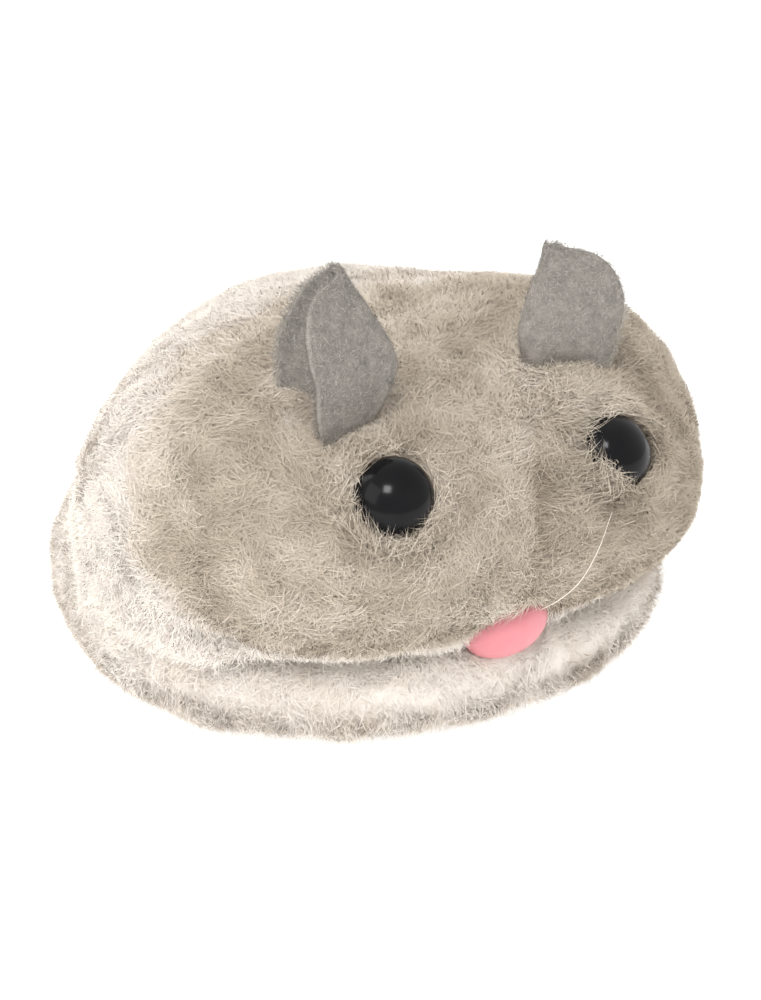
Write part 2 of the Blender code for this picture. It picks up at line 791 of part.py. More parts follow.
def washer_profile():
    bore = SHANK_RADIUS + BORE_GAP
    return [
        (bore, 0), (WASHER_RADIUS, 0), (WASHER_RADIUS, WASHER_THICK * 0.6), (bore + 0.7, WASHER_THICK),
        (bore, WASHER_THICK),
    ]


def make_eye(word, finishes, shell, cover):
    spot = Vector(EYE_PLACES[word])
    outward = body_normal(spot)
    offset = spot - Vector((0, 0, BODY_CENTRE_Z))
    surface = offset.normalized() * (body_radius(offset.normalized()) - PILE_TIPS)
    seat = surface + Vector((0, 0, BODY_CENTRE_Z)) + outward * EYE_STANDOFF
    profile = button_profile(EYE_RADIUS, EYE_HEIGHT, EYE_SHANK)
    turned_piece("eye_" + word, profile, 20, finishes["eye_plastic"], seat, outward)
    inside = seat - outward * (EYE_SHANK - 1.2)
    washer_finish = finishes["washer_plastic"]
    turned_piece("eye_washer_" + word, washer_profile(), 12, washer_finish, inside, outward, True)
    start = seat - outward * (EYE_SHANK + 2)
    hole = rod_cutter("eye_hole_" + word, start, outward, EYE_SHANK + 4, SHANK_RADIUS + GAP)
    boolean(shell, hole)
    boolean(cover, hole)


def make_nose(finishes, shell, cover, skirt):
    outward = Vector(NOSE_DIRECTION).normalized()
    seat = Vector(NOSE_PLACE)
    profile = button_profile(NOSE_HALF_WIDTH, NOSE_HEIGHT, NOSE_SHANK)
    nose_finish = finishes["nose_plastic"]
    turned_piece("nose", profile, 20, nose_finish, seat, outward, False, NOSE_ROLL, NOSE_FLATNESS)
    inside = seat - outward * (NOSE_SHANK - 1.2)
    turned_piece("nose_washer", washer_profile(), 12, finishes["washer_plastic"], inside, outward, True)
    start = seat - outward * (NOSE_SHANK + 2)
    hole = rod_cutter("nose_hole", start, outward, NOSE_SHANK + 3, SHANK_RADIUS + GAP)
    boolean(shell, hole)
    boolean(cover, hole)
    room = NOSE_HALF_WIDTH + 0.5
    recess_profile = [(0, -0.5), (room, -0.5), (room, 1.0), (room * 0.6, 4.2), (0, 4.6)]
    recess = turned_piece(
        "nose_recess", recess_profile, 24, None, seat, outward, False, NOSE_ROLL, NOSE_FLATNESS + 0.05
    )
    boolean(cover, recess)
    boolean(skirt, recess)


# ---------------------------------------------------------------- motor


def make_frame_plates(places, finishes):
    """Two steel plates with pivot holes and two screwed feet each."""
    holes = [circle(PIVOT_RADIUS + 0.12, 10, places[name]) for name in ("third", "second")]
    holes.append(circle(AXLE_RADIUS + 0.12, 12, places["axle"]))
    holes += [circle(PIVOT_RADIUS + BORE_GAP, 8, pillar) for pillar in PILLARS]
    for side, word in ((1, "left"), (-1, "right")):
        arbor_bore = (ARBOR_RADIUS if side > 0 else PIVOT_RADIUS + 0.2) + 0.12
        loops = [list(FRAME_OUTLINE), *holes, circle(arbor_bore, 12, places["arbor"])]
        low, high = sorted((side * FRAME_INNER_X, side * (FRAME_INNER_X + FRAME_THICK)))
        plate = put("motor_plate_" + word, slab_bm(loops, low, high, "X"), finishes["steel"])
        for index, (front, rear) in enumerate(FOOT_Y):
            ends = sorted((side * FOOT_X[0], side * FOOT_X[1]))
            outline = rectangle(ends[0], front, ends[1], rear)
            hole = circle(0.9, 12, (side * FOOT_SCREW_X, (front + rear) / 2))
            foot = put(f"foot_{word}_{index + 1}", slab_bm([outline, hole], FOOT_Z[0], FOOT_Z[1], "Z"), None)
            boolean(plate, foot, "UNION")


def make_pillars(finishes):
    body_end = FRAME_INNER_X - BORE_GAP
    neck_end = FRAME_INNER_X + FRAME_THICK + BORE_GAP
    head_end = neck_end + 0.5
    half = [
        (0, head_end), (PILLAR_RADIUS, head_end), (PILLAR_RADIUS, neck_end), (PIVOT_RADIUS, neck_end),
        (PIVOT_RADIUS, body_end), (PILLAR_RADIUS, body_end),
    ]
    profile = [(r, -x) for r, x in half] + list(reversed(half))
    for index, (y, z) in enumerate(PILLARS):
        put(f"motor_pillar_{index + 1}", turned_bm(profile, 10), finishes["steel"], (0, y, z))


def make_train(places, phases, finishes):
    """Great wheel, two arbors with their wheels, and the pinion on the drive axle."""
    great_axis = axis_empty("great_wheel_axis", *places["arbor"])
    second_axis = axis_empty("second_arbor_axis", *places["second"])
    third_axis = axis_empty("third_arbor_axis", *places["third"])
    axle_axis = axis_empty("drive_axle_axis", *places["axle"])

    great = wheel_bm(GREAT_TEETH, phases["great"], GREAT_LAYER, ARBOR_RADIUS + BORE_GAP)
    great_wheel = put("great_wheel", great, finishes["brass"], parent=great_axis)
    hole_radius = CLICK_PIN_RADIUS + BORE_GAP
    pin_hole = turned_bm([(0, 2), (hole_radius, 2), (hole_radius, 8), (0, 8)], 12)
    pin_cutter = put("click_pin_hole", pin_hole, None, (0, *CLICK_PIVOT), great_axis)
    boolean(great_wheel, pin_cutter)

    arbor_with_pinion("second_pinion", SECOND_LAYER, GREAT_LAYER, finishes, second_axis)
    bore = PIVOT_RADIUS + 0.3 + BORE_GAP
    second = wheel_bm(SECOND_TEETH, phases["second"], SECOND_LAYER, bore, 1.5, 3.9)
    put("second_wheel", second, finishes["brass"], parent=second_axis)

    arbor_with_pinion("third_pinion", THIRD_LAYER, SECOND_LAYER, finishes, third_axis)
    third = wheel_bm(THIRD_TEETH, phases["third"], THIRD_LAYER, bore, 1.1, 3.0)
    put("third_wheel", third, finishes["brass"], parent=third_axis)

    pinion_low, pinion_high = THIRD_LAYER[0] - PINION_OVERHANG, THIRD_LAYER[1] + PINION_OVERHANG
    loops = [gear_loop(AXLE_TEETH, phases["axle"]), circle(AXLE_RADIUS + BORE_GAP)]
    put("axle_pinion", slab_bm(loops, pinion_low, pinion_high, "X"), finishes["brass"], parent=axle_axis)
    return great_axis, axle_axis


def make_ratchet(great_axis, finishes):
    """Ratchet wheel on the arbor, and the click with its pin and spring on the great wheel."""
    pitch = 2 * math.pi / RATCHET_TEETH
    loop = []
    for i in range(RATCHET_TEETH):
        face = math.pi / 2 + pitch * i
        loop.append((RATCHET_ROOT * math.cos(face), RATCHET_ROOT * math.sin(face)))
        loop.append((RATCHET_OUTER * math.cos(face), RATCHET_OUTER * math.sin(face)))
    ratchet = slab_bm([loop, circle(ARBOR_RADIUS + BORE_GAP)], *RATCHET_LAYER, "X")
    put("ratchet_wheel", ratchet, finishes["steel"], parent=great_axis)

    pivot_y, pivot_z = CLICK_PIVOT
    boss = [
        (CLICK_BOSS * math.cos(math.radians(d)), CLICK_BOSS * math.sin(math.radians(d)))
        for d in range(215, 470, 20)
    ]
    nose = [(y - pivot_y, z - pivot_z) for y, z in ((0.15, 4.05), (0.15, 2.97), (1.3, 3.55))]
    outline = [*nose, *boss]
    hole = circle(CLICK_PIN_RADIUS + BORE_GAP, 12)
    click = slab_bm([outline, hole], *RATCHET_LAYER, "X")
    put("click", click, finishes["steel"], (0, pivot_y, pivot_z), great_axis)

    head = CLICK_PIN_RADIUS + 0.35
    low, high = GREAT_LAYER[0] - BORE_GAP, RATCHET_LAYER[1] + BORE_GAP
    profile = [
        (0, low - 0.25), (head, low - 0.25), (head, low), (CLICK_PIN_RADIUS, low), (CLICK_PIN_RADIUS, high),
        (head, high), (head, high + 0.4), (0, high + 0.4),
    ]
    put("click_pin", turned_bm(profile, 10), finishes["steel"], (0, pivot_y, pivot_z), great_axis)

    route = [(5.9, 0.9), (6.6, 2.6), (6.3, 4.6), (4.9, 5.9), (3.0, 5.85), (1.5, 5.25)]
    strip = strip_bm([Vector(p) for p in route], 0.16, RATCHET_LAYER[0] - 0.1, RATCHET_LAYER[1] - 0.5)
    put("click_spring", strip, finishes["spring_steel"], parent=great_axis)


def strip_bm(route, thickness, low, high):
    """A springy strip that stands on edge along a route of (y, z) points."""
    bm = bmesh.new()
    rows = []
    for index, point in enumerate(route):
        ahead = route[min(index + 1, len(route) - 1)] - route[max(index - 1, 0)]
        side = Vector((-ahead.y, ahead.x)).normalized() * thickness / 2
        near, far = point - side, point + side
        row = [(low, *near), (low, *far), (high, *far), (high, *near)]
        rows.append([bm.verts.new(p) for p in row])
    for here, there in zip(rows, rows[1:]):
        for k in range(4):
            m = (k + 1) % 4
            bm.faces.new((here[k], here[m], there[m], there[k]))
    bm.faces.new(rows[0])
    bm.faces.new(rows[-1])
    return bm


def make_mainspring(places, finishes):
    """A spiral strip from beside the arbor out to a hook round the nearest pillar."""
    pillar = Vector(PILLARS[2]) - Vector(places["arbor"])
    end_angle = math.atan2(pillar.y, pillar.x) - math.radians(38.0)
    steps = int(SPRING_TURNS * 16)
    route = []
    for step in range(steps + 1):
        share = step / steps
        radius = SPRING_INNER + (SPRING_OUTER - SPRING_INNER) * share
        angle = end_angle - 2 * math.pi * SPRING_TURNS * (1 - share)
        route.append(Vector((radius * math.cos(angle), radius * math.sin(angle))))
    hook = PILLAR_RADIUS + GAP + SPRING_STRIP / 2
    start = math.atan2(pillar.y, pillar.x) - math.pi / 2
    for step in range(9):
        angle = start + math.pi * 1.15 * step / 8
        route.append(pillar + Vector((hook * math.cos(angle), hook * math.sin(angle))))
    strip = strip_bm(route, SPRING_STRIP, *SPRING_LAYER)
    put("mainspring", strip, finishes["spring_steel"], (0, *places["arbor"]))


# ---------------------------------------------------------------- winding


def make_arbor(great_axis, finishes):
    pivot = PIVOT_RADIUS + 0.2
    reach = FRAME_INNER_X - BORE_GAP
    pivot_end = FRAME_INNER_X + FRAME_THICK + GAP
    profile = [(0, -pivot_end), (pivot, -pivot_end), (pivot, -reach), (ARBOR_RADIUS, -reach)]
    profile += [(ARBOR_RADIUS, ARBOR_END_X), (0, ARBOR_END_X)]
    return put("winding_arbor", turned_bm(profile, 18), finishes["steel"], parent=great_axis)


def make_key(great_axis, finishes):
    """Hub with a blind bore, and a two-lobed wing in one piece with it, lying level at rest."""
    bore = ARBOR_RADIUS + BORE_GAP
    low, high = KEY_HUB_X
    hub_profile = [
        (0, low),
        (KEY_HUB_RADIUS, low),
        (KEY_HUB_RADIUS, high),
        (KEY_HUB_RADIUS * 0.6, high + 1.0),
        (0, high + 1.0),
    ]
    key = put("winding_key", turned_bm(hub_profile, 24), finishes["key_plastic"], parent=great_axis)
    outline = []
    for i in range(36):
        turn = 2 * math.pi * i / 36
        radius = KEY_WING_WAIST + (KEY_WING_REACH - KEY_WING_WAIST) * abs(math.cos(turn)) ** 1.5
        outline.append((KEY_WING_CENTRE + radius * math.sin(turn), radius * math.cos(turn)))
    eyes = [circle(KEY_EYE_RADIUS, 12, (KEY_WING_CENTRE, side * KEY_EYE_OFFSET)) for side in (1, -1)]
    half = KEY_WING_THICK / 2
    wing = put("key_wing", slab_bm([outline, *eyes], -half, half, "Z"), None, parent=great_axis)
    boolean(key, wing, "UNION")
    deep = ARBOR_END_X + GAP
    bore_bm = turned_bm([(0, low - 1), (bore, low - 1), (bore, deep), (0, deep)], 18)
    bore_cutter = put("key_bore", bore_bm, None, parent=great_axis)
    boolean(key, bore_cutter)


def make_key_eyelet(places, finishes, shell, cover):
    """The plastic eyelet that lines the key's hole in the plush."""
    y, z = places["arbor"]
    flange = 3.4
    tube = 2.0
    inner = ARBOR_RADIUS + GAP
    turns = np.linspace(0, 2 * math.pi, 13)
    seat = GAP + max(body_side(y + flange * math.cos(t), z + flange * math.sin(t)) for t in turns)
    shell_x = egg_radius(math.atan2(y, SHELL_PLAN[0]), *SHELL_PLAN)
    low = shell_x + 0.8
    profile = [
        (inner, low), (tube, low), (tube, seat), (flange, seat), (flange, seat + 0.5),
        (flange - 0.5, seat + 0.9), (inner, seat + 0.9),
    ]
    put("key_eyelet", turned_bm(profile, 16, True), finishes["washer_plastic"], (0, y, z))
    shell_hole = rod_cutter("key_hole_shell", (15, y, z), (1, 0, 0), 11.5, ARBOR_RADIUS + 0.8)
    boolean(shell, shell_hole)
    cover_hole = rod_cutter("key_hole_cover", (15, y, z), (1, 0, 0), 25, tube + BORE_GAP)
    boolean(cover, cover_hole)


# ---------------------------------------------------------------- running gear


def make_running_gear(axle_axis, finishes):
    end = WHEEL_INNER_X + WHEEL_WIDTH + 0.5
    profile = [(0, -end), (AXLE_RADIUS, -end), (AXLE_RADIUS, end), (0, end)]
    put("drive_axle", turned_bm(profile, 18), finishes["steel"], parent=axle_axis)
    bore = AXLE_RADIUS + BORE_GAP
    middle = WHEEL_INNER_X + WHEEL_WIDTH / 2
    for side, word in ((1, "left"), (-1, "right")):
        half = WHEEL_WIDTH / 2
        hub = [
            (bore, -half), (bore + 1.1, -half + 0.9), (HUB_RADIUS - 0.8, -half + 0.9), (HUB_RADIUS, -half),
            (HUB_RADIUS, half), (HUB_RADIUS - 0.8, half - 0.9), (bore + 1.1, half - 0.9), (bore, half),
        ]
        hub_place = (side * middle, 0, 0)
        put("drive_wheel_" + word, turned_bm(hub, 20, True), finishes["wheel_plastic"], hub_place, axle_axis)
        inner = HUB_RADIUS + BORE_GAP
        tyre = [
            (inner, -half + 0.1), (WHEEL_RADIUS - 0.5, -half + 0.1), (WHEEL_RADIUS - 0.1, -half + 0.5),
            (WHEEL_RADIUS, 0), (WHEEL_RADIUS - 0.1, half - 0.5), (WHEEL_RADIUS - 0.5, half - 0.1),
            (inner, half - 0.1),
        ]
        put("tyre_" + word, turned_bm(tyre, 28, True), finishes["tyre_rubber"], hub_place, axle_axis)


def make_roller(finishes):
    """The free roller under the rump, and the pin it turns on."""
    roller_axis = axis_empty("rear_roller_axis", ROLLER_Y, GROUND_Z + ROLLER_RADIUS)
    bore = ROLLER_PIN_RADIUS + BORE_GAP
    half = ROLLER_HALF_WIDTH
    profile = [
        (bore, -half), (ROLLER_RADIUS - 0.4, -half), (ROLLER_RADIUS, -half + 0.4),
        (ROLLER_RADIUS, half - 0.4), (ROLLER_RADIUS - 0.4, half), (bore, half),
    ]
    put("rear_roller", turned_bm(profile, 20, True), finishes["wheel_plastic"], parent=roller_axis)
    end = CHEEK_X[1] + 0.3
    pin = [(0, -end), (ROLLER_PIN_RADIUS, -end), (ROLLER_PIN_RADIUS, end), (0, end)]
    put("roller_pin", turned_bm(pin, 14), finishes["steel"], parent=roller_axis)


# ---------------------------------------------------------------- screws


def screw_mesh(length, finishes):
    """A slotted pan-head screw that points up, as a mesh that its copies share."""
    head = 1.6
    profile = [
        (0, -1.05), (head - 0.5, -1.05), (head, -0.7), (head, -BORE_GAP), (0.72, -BORE_GAP),
        (0.72, length - 0.6), (0, length),
    ]
    bm = turned_bm(profile, 10)
    bmesh.ops.rotate(bm, cent=(0, 0, 0), matrix=Matrix.Rotation(-math.pi / 2, 3, "Y"), verts=bm.verts)
    draft = put("screw_draft", bm, finishes["steel"])
    slot_box = put("screw_slot", slab_bm([rectangle(-3, -0.2, 3, 0.2)], -1.3, -0.65, "Z"), None)
    boolean(draft, slot_box)
    bpy.context.view_layer.update()
    evaluated = draft.evaluated_get(bpy.context.evaluated_depsgraph_get())
    mesh = bpy.data.meshes.new_from_object(evaluated)
    bpy.data.objects.remove(draft)
    bpy.data.objects.remove(slot_box)
    return mesh


def make_screws(finishes, shell):
    long_mesh = screw_mesh(4.6, finishes)
    for index, (x, y) in enumerate(shell_screw_places()):
        place(f"shell_screw_{index + 1}", long_mesh, finishes["steel"], (x, y, 0))
        boolean(shell, rod_cutter(f"pilot_{index + 1}", (x, y, 0.5), (0, 0, 1), 4.6, 0.9))
    short_mesh = screw_mesh(3.6, finishes)
    for index, (x, y) in enumerate(foot_screw_places()):
        place(f"motor_screw_{index + 1}", short_mesh, finishes["steel"], (x, y, 0))


# ---------------------------------------------------------------- assembly


def build():
    clear_scene()
    finishes = make_finishes()
    places = train_places()
    phases = train_phases(places)
    cover = make_cover(finishes)
    skirt = make_skirt(finishes)
    shell = make_shell(finishes)
    make_plate(finishes)
    for side, word in ((1, "left"), (-1, "right")):
        make_ear("ear_" + word, side, finishes)
        make_eye(word, finishes, shell, cover)
    make_nose(finishes, shell, cover, skirt)
    make_whisker("whisker", WHISKER_ROUTE, finishes)
    make_frame_plates(places, finishes)
    make_pillars(finishes)
    great_axis, axle_axis = make_train(places, phases, finishes)
    make_ratchet(great_axis, finishes)
    make_mainspring(places, finishes)
    make_arbor(great_axis, finishes)
    make_key(great_axis, finishes)
    make_key_eyelet(places, finishes, shell, cover)
    make_running_gear(axle_axis, finishes)
    make_roller(finishes)
    make_screws(finishes, shell)


build()
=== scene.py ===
"""The look of the plush clockwork mouse: pile strands, felt, plastics and metals on the CAD frame.

Lengths are millimetres until they become metres through MM. The nose points to -Y and +X is the
mouse's left.
"""

import json
import math

import bpy
import numpy as np
from mathutils import Matrix, Vector


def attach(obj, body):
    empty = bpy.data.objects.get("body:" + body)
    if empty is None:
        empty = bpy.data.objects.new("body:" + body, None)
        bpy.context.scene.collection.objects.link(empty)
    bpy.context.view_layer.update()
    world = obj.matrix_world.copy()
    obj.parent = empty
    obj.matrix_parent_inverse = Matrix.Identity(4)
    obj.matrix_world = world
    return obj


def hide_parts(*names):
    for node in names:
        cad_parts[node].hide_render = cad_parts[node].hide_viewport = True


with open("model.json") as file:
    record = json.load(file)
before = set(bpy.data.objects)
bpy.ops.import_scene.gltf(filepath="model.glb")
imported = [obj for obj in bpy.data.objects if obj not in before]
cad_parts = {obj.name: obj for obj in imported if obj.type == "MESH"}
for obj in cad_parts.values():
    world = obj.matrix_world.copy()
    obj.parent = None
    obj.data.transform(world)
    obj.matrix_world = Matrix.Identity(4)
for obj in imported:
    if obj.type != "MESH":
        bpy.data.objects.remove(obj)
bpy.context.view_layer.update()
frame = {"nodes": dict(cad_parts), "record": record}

MM = 0.001
SEED = 11

# Form of the body at the tips of its pile, about its centre.
CENTRE = np.array([0.0, 0.0, 16.2])
HALF_WIDTH, REAR, FRONT, ABOVE, BELOW = 33.7, 33.9, 32.5, 20.8, 14.0
SWELLS = (
    ((0.75, 0.55, 0.10), -3.0, 28.0),
    ((0.00, 0.45, 0.85), 1.0, 32.0),
    ((0.60, -0.75, 0.00), 4.1, 25.0),
    ((0.80, -0.30, 0.50), 6.0, 28.0),
    ((0.55, -0.70, -0.50), -1.5, 30.0),
)
GROUND_Z = -1.5

# Skirt: plan of its outer and inner edges, and its section.
SKIRT_OUT = (34.3, 40.6, 30.6)
SKIRT_IN = (25.3, 26.5, 24.4)
SKIRT_MIDDLE_Z, SKIRT_HALF = 4.6, 5.1

# Pile: how deep its matted ground lies under the tips, how thick it is, and its tufts.
MAT_DEPTH = 1.5
MAT_THICKNESS = 3.2
SKIRT_MAT_SHARE = 0.72
COVER_CLUMPS = 14500
SKIRT_CLUMPS = 3800
HEM_CLUMPS = 3400
PER_CLUMP = 32
STRAND_WIDTH = 0.062

# Where the pile stands fuller or is pressed flat: place, extra length and spread.
CHEEK_TUFT = ((9.6, -31.0, 25.5), 1.5, 3.0)
CROWN_TUFT = ((11.0, -23.0, 33.0), 3.0, 5.0)
MUZZLE_TUFT = ((-2.0, -32.0, 15.5), 1.3, 3.5)
EAR_SEAT_DIP = ((19.5, -19.0, 31.5), 1.0, 3.0)
EYE_RIM_TUFT, EYE_RIM_RADIUS, EYE_RIM_SPREAD = 2.4, 4.3, 1.3

# Where the grey is darker or lighter than the rest: place, change in shade and spread; two of them are
# painted light.
TONE_AND_PAINTED_LIGHT_PATCHES = (
    ((-26.0, -22.0, 25.0), -2.6, 9.0),
    # Painted light: the forehead's pile made lighter to lift the upright strands there.
    ((0.0, -25.0, 30.0), 1.0, 8.0),
    # Painted shade: the left cheek, turned away from the key light, made darker.
    ((19.0, -26.0, 25.0), -1.3, 12.0),
)
GREY_LEVEL, WHITE_LEVEL = 7.0, 10.8

EYE_PLACES = {"left": np.array([13.9, -28.5, 26.3]), "right": np.array([-12.7, -29.0, 27.5])}
EYE_RADIUS, EYE_HEIGHT, EYE_STANDOFF = 4.0, 3.2, 0.7
NOSE_PLACE = np.array([0.0, -29.0, 10.9])
NOSE_DIRECTION = np.array([0.0, -0.93, -0.25])
NOSE_HALF_WIDTH, NOSE_FLATNESS, NOSE_HEIGHT = 4.8, 0.74, 3.4
NOSE_ROLL = math.radians(10.0)
KEY_AXIS = (8.5, 13.2)
EYELET_CLEARANCE = 2.9

# The one whisker's route, from beside the nose up past the left cheek.
WHISKER_ROUTE = (
    (2.6, -31.0, 12.2),
    (4.3, -32.7, 14.0),
    (6.2, -33.6, 16.1),
    (8.1, -33.8, 19.3),
    (10.1, -33.0, 22.6),
)
WHISKER_RADIUS = 0.045
TUBE_SIDES = 7

# Felt ears, left one: height, the fold line's X and Y, and the reach of the front and back halves.
EAR_STATIONS = (
    (29.0, 12.8, -18.6, 2.5, 3.0),
    (31.0, 11.8, -19.0, 5.0, 5.5),
    (34.0, 9.4, -19.6, 8.6, 9.5),
    (37.5, 8.1, -19.9, 10.4, 11.3),
    (40.0, 8.5, -19.4, 10.6, 10.6),
    (43.0, 10.0, -18.2, 8.8, 7.6),
    (45.5, 11.4, -17.0, 5.6, 4.2),
    (47.4, 12.3, -16.0, 0.5, 0.5),
)
EAR_FRONT_ANGLE, EAR_BACK_ANGLE = math.radians(-11.0), math.radians(28.0)
# The right ear stands a little higher and further forward than its pair.
EAR_LIFT = {"left": -2.6, "right": -0.5}
EAR_SPLAY = {"left": 1.7, "right": -0.5}
EAR_SETBACK = {"left": 1.2, "right": 0.0}
EAR_FOOT_Z, EAR_RISE = 29.0, 18.0
FELT_THICKNESS = 0.9

# Camera: turn, height and roll in degrees, what it looks at, how far off it is, and its lens.
CAMERA_TURN, CAMERA_LIFT, CAMERA_ROLL = -29.3, 25.6, -0.3
CAMERA_TARGET = (0.5, -2.7, 13.6)
CAMERA_DISTANCE = 237.7
CAMERA_LENS, CAMERA_SENSOR = 77.0, 36

# ---------------------------------------------------------------- numbers


def unit(v):
    """Vectors along the last axis, made one long."""
    return v / np.linalg.norm(v, axis=-1, keepdims=True)


def smooth(low, high, x):
    """A smooth step from 0 at low to 1 at high."""
    t = np.clip((x - low) / (high - low), 0.0, 1.0)
    return t * t * (3 - 2 * t)


class Waves:
    """Smooth, repeatable noise in space, made of sines in random directions."""

    def __init__(self, rng, size, count=14):
        heading = unit(rng.normal(size=(count, 3)))
        self.k = heading * (2 * math.pi / size) * rng.uniform(0.6, 1.6, (count, 1))
        self.shift = rng.uniform(0, 2 * math.pi, count)
        self.scale = math.sqrt(2.0 / count)

    def at(self, p):
        return np.sin(p @ self.k.T + self.shift).sum(-1) * self.scale


def envelope(d):
    """Distance from the centre to the tips of the pile along unit directions."""
    reach = np.where(d[:, 1] > 0, REAR, FRONT)
    height = np.where(d[:, 2] > 0, ABOVE, BELOW)
    r = ((d[:, 0] / HALF_WIDTH) ** 2 + (d[:, 1] / reach) ** 2 + (d[:, 2] / height) ** 2) ** -0.5
    for towards, swell, spread in SWELLS:
        for side in ((1, -1) if towards[0] else (1,)):
            u = unit(np.array([towards[0] * side, towards[1], towards[2]]))
            angle = np.degrees(np.arccos(np.clip(d @ u, -1, 1)))
            r = r + swell * np.exp(-((angle / spread) ** 2))
    return r


def bump(p, place, height, spread):
    """A rounded swell of a given height and spread about place."""
    return height * np.exp(-((np.linalg.norm(p - np.array(place), axis=-1) / spread) ** 2))


def creases(p):
    """How deep the pile is drawn in at points p: the snout's seam and the neck's fold; the same weights also
    paint shade into the strands there.
    """
    front = smooth(-24.0, -28.0, p[:, 1])
    seam_x = 0.6 + 0.38 * np.clip(p[:, 2] - 15.0, 0, 11)
    seam = np.exp(-(((p[:, 0] - seam_x) / (0.8 + 0.05 * np.clip(p[:, 2] - 15.0, 0, 11))) ** 2)) * front
    seam = seam * smooth(12.0, 15.0, p[:, 2]) * smooth(28.5, 25.0, p[:, 2])
    seam = seam * (0.55 + 0.45 * smooth(19.0, 24.0, p[:, 2]))
    neck_y = -20.2 - 0.008 * (p[:, 0] - 3.0) ** 2
    neck = np.exp(-(((p[:, 1] - neck_y) / 1.5) ** 2)) * smooth(12.0, 6.0, np.abs(p[:, 0] - 3.0))
    neck = neck * smooth(26.0, 30.0, p[:, 2])
    return seam, neck


def fullness(p):
    """How much longer the pile stands round the eyes, over the nose and in its few tufts."""
    extra = bump(p, *CHEEK_TUFT)
    for word in ("left", "right"):
        seat, _out = eye_axis(word)
        distance = np.linalg.norm(p - seat, axis=-1)
        extra = extra + EYE_RIM_TUFT * np.exp(-(((distance - EYE_RIM_RADIUS) / EYE_RIM_SPREAD) ** 2))
    extra = extra + bump(p, *CROWN_TUFT)
    (x, y, z), depth, spread = EAR_SEAT_DIP
    for side in (1, -1):
        extra = extra - bump(p, (side * x, y, z), depth, spread)
    return extra + bump(p, *MUZZLE_TUFT)


def hem_blend(p):
    """Small at the front, where the cover ends in an edge, to 1 where it runs into the skirt."""
    return 0.2 + 0.8 * smooth(-25.0, -17.0, p[..., 1])


def hem_line(theta, along):
    """Points from the cover's flank (along 0) down to the skirt (along 1), and their outward directions."""
    flat = np.stack([np.cos(theta), np.sin(theta), np.zeros_like(theta)], -1)
    blend = hem_blend(flat * 34.0)
    top_z = 11.5 + 6.0 * blend
    rise = (top_z - CENTRE[2]) / 34.0
    top = on_body(unit(flat + np.array([0, 0, 1.0]) * rise[:, None]), 0.3)
    foot = on_skirt(theta, np.radians(72.0 - 46.0 * blend), 0.97)
    down = unit(foot - top)
    outward = unit(flat - (flat * down).sum(-1, keepdims=True) * down)
    share = along[:, None]
    recess = np.linalg.norm(top[:, :2], axis=-1) - np.linalg.norm(foot[:, :2], axis=-1)
    side = smooth(0.4, 0.9, blend)
    bulge = (0.5 + 0.30 * side * np.clip(recess, 0, 8))[:, None] * 4 * share * (1 - share)
    return top * (1 - share) + foot * share + outward * bulge, outward, down


def on_body(d, depth):
    """Points at a depth under the tips of the cover's pile, along unit directions."""
    return CENTRE + d * (envelope(d) - depth)[:, None]


def body_normals(d):
    """Outward normals of the body at unit directions, from small steps round each."""
    helper = np.where(np.abs(d[:, 2:3]) < 0.9, np.array([[0.0, 0.0, 1.0]]), np.array([[1.0, 0.0, 0.0]]))
    a = unit(np.cross(d, helper))
    b = np.cross(d, a)
    step = 0.02
    pa = on_body(unit(d + a * step), 0.0) - on_body(unit(d - a * step), 0.0)
    pb = on_body(unit(d + b * step), 0.0) - on_body(unit(d - b * step), 0.0)
    n = unit(np.cross(pa, pb))
    return n * np.sign((n * d).sum(-1, keepdims=True))


def egg(theta, plan, power=2.0):
    """Radius of an egg-shaped plan: half its width, its reach to the rear and its reach to the front."""
    reach = np.where(np.sin(theta) > 0, plan[1], plan[2])
    across = np.abs(np.cos(theta) / plan[0]) ** power
    return (across + np.abs(np.sin(theta) / reach) ** power) ** (-1.0 / power)


def on_skirt(theta, turn, share):
    """Points on the skirt's section at a share of its size, 1 being its outside."""
    inner, outer = egg(theta, SKIRT_IN), egg(theta, SKIRT_OUT, 2.1)
    middle, half = (inner + outer) / 2, (outer - inner) / 2
    across = np.sign(np.cos(turn)) * np.abs(np.cos(turn)) ** 0.6
    upward = np.sign(np.sin(turn)) * np.abs(np.sin(turn)) ** 0.6
    radius = middle + half * across * share
    z = SKIRT_MIDDLE_Z + SKIRT_HALF * upward * share
    return np.stack([radius * np.cos(theta), radius * np.sin(theta), z], -1)


# ---------------------------------------------------------------- meshes


def new_object(name, verts, faces):
    """A smooth-shaded mesh on the chassis, from points in millimetres."""
    mesh = bpy.data.meshes.new(name)
    corners = [tuple(v) for v in np.asarray(verts) * MM]
    mesh.from_pydata(corners, [], [tuple(int(i) for i in f) for f in faces])
    mesh.update()
    mesh.shade_smooth()
    obj = bpy.data.objects.new(name, mesh)
    bpy.context.scene.collection.objects.link(obj)
    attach(obj, "chassis")
    return obj


def grid_faces(rows, columns, closed_across=False, closed_down=False):
    """Four-sided faces of a grid of points, closed on itself either way."""
    faces = []
    for i in range(rows if closed_down else rows - 1):
        for j in range(columns if closed_across else columns - 1):
            here, below = i * columns, ((i + 1) % rows) * columns
            after = (j + 1) % columns
            faces.append((here + j, here + after, below + after, below + j))
    return faces


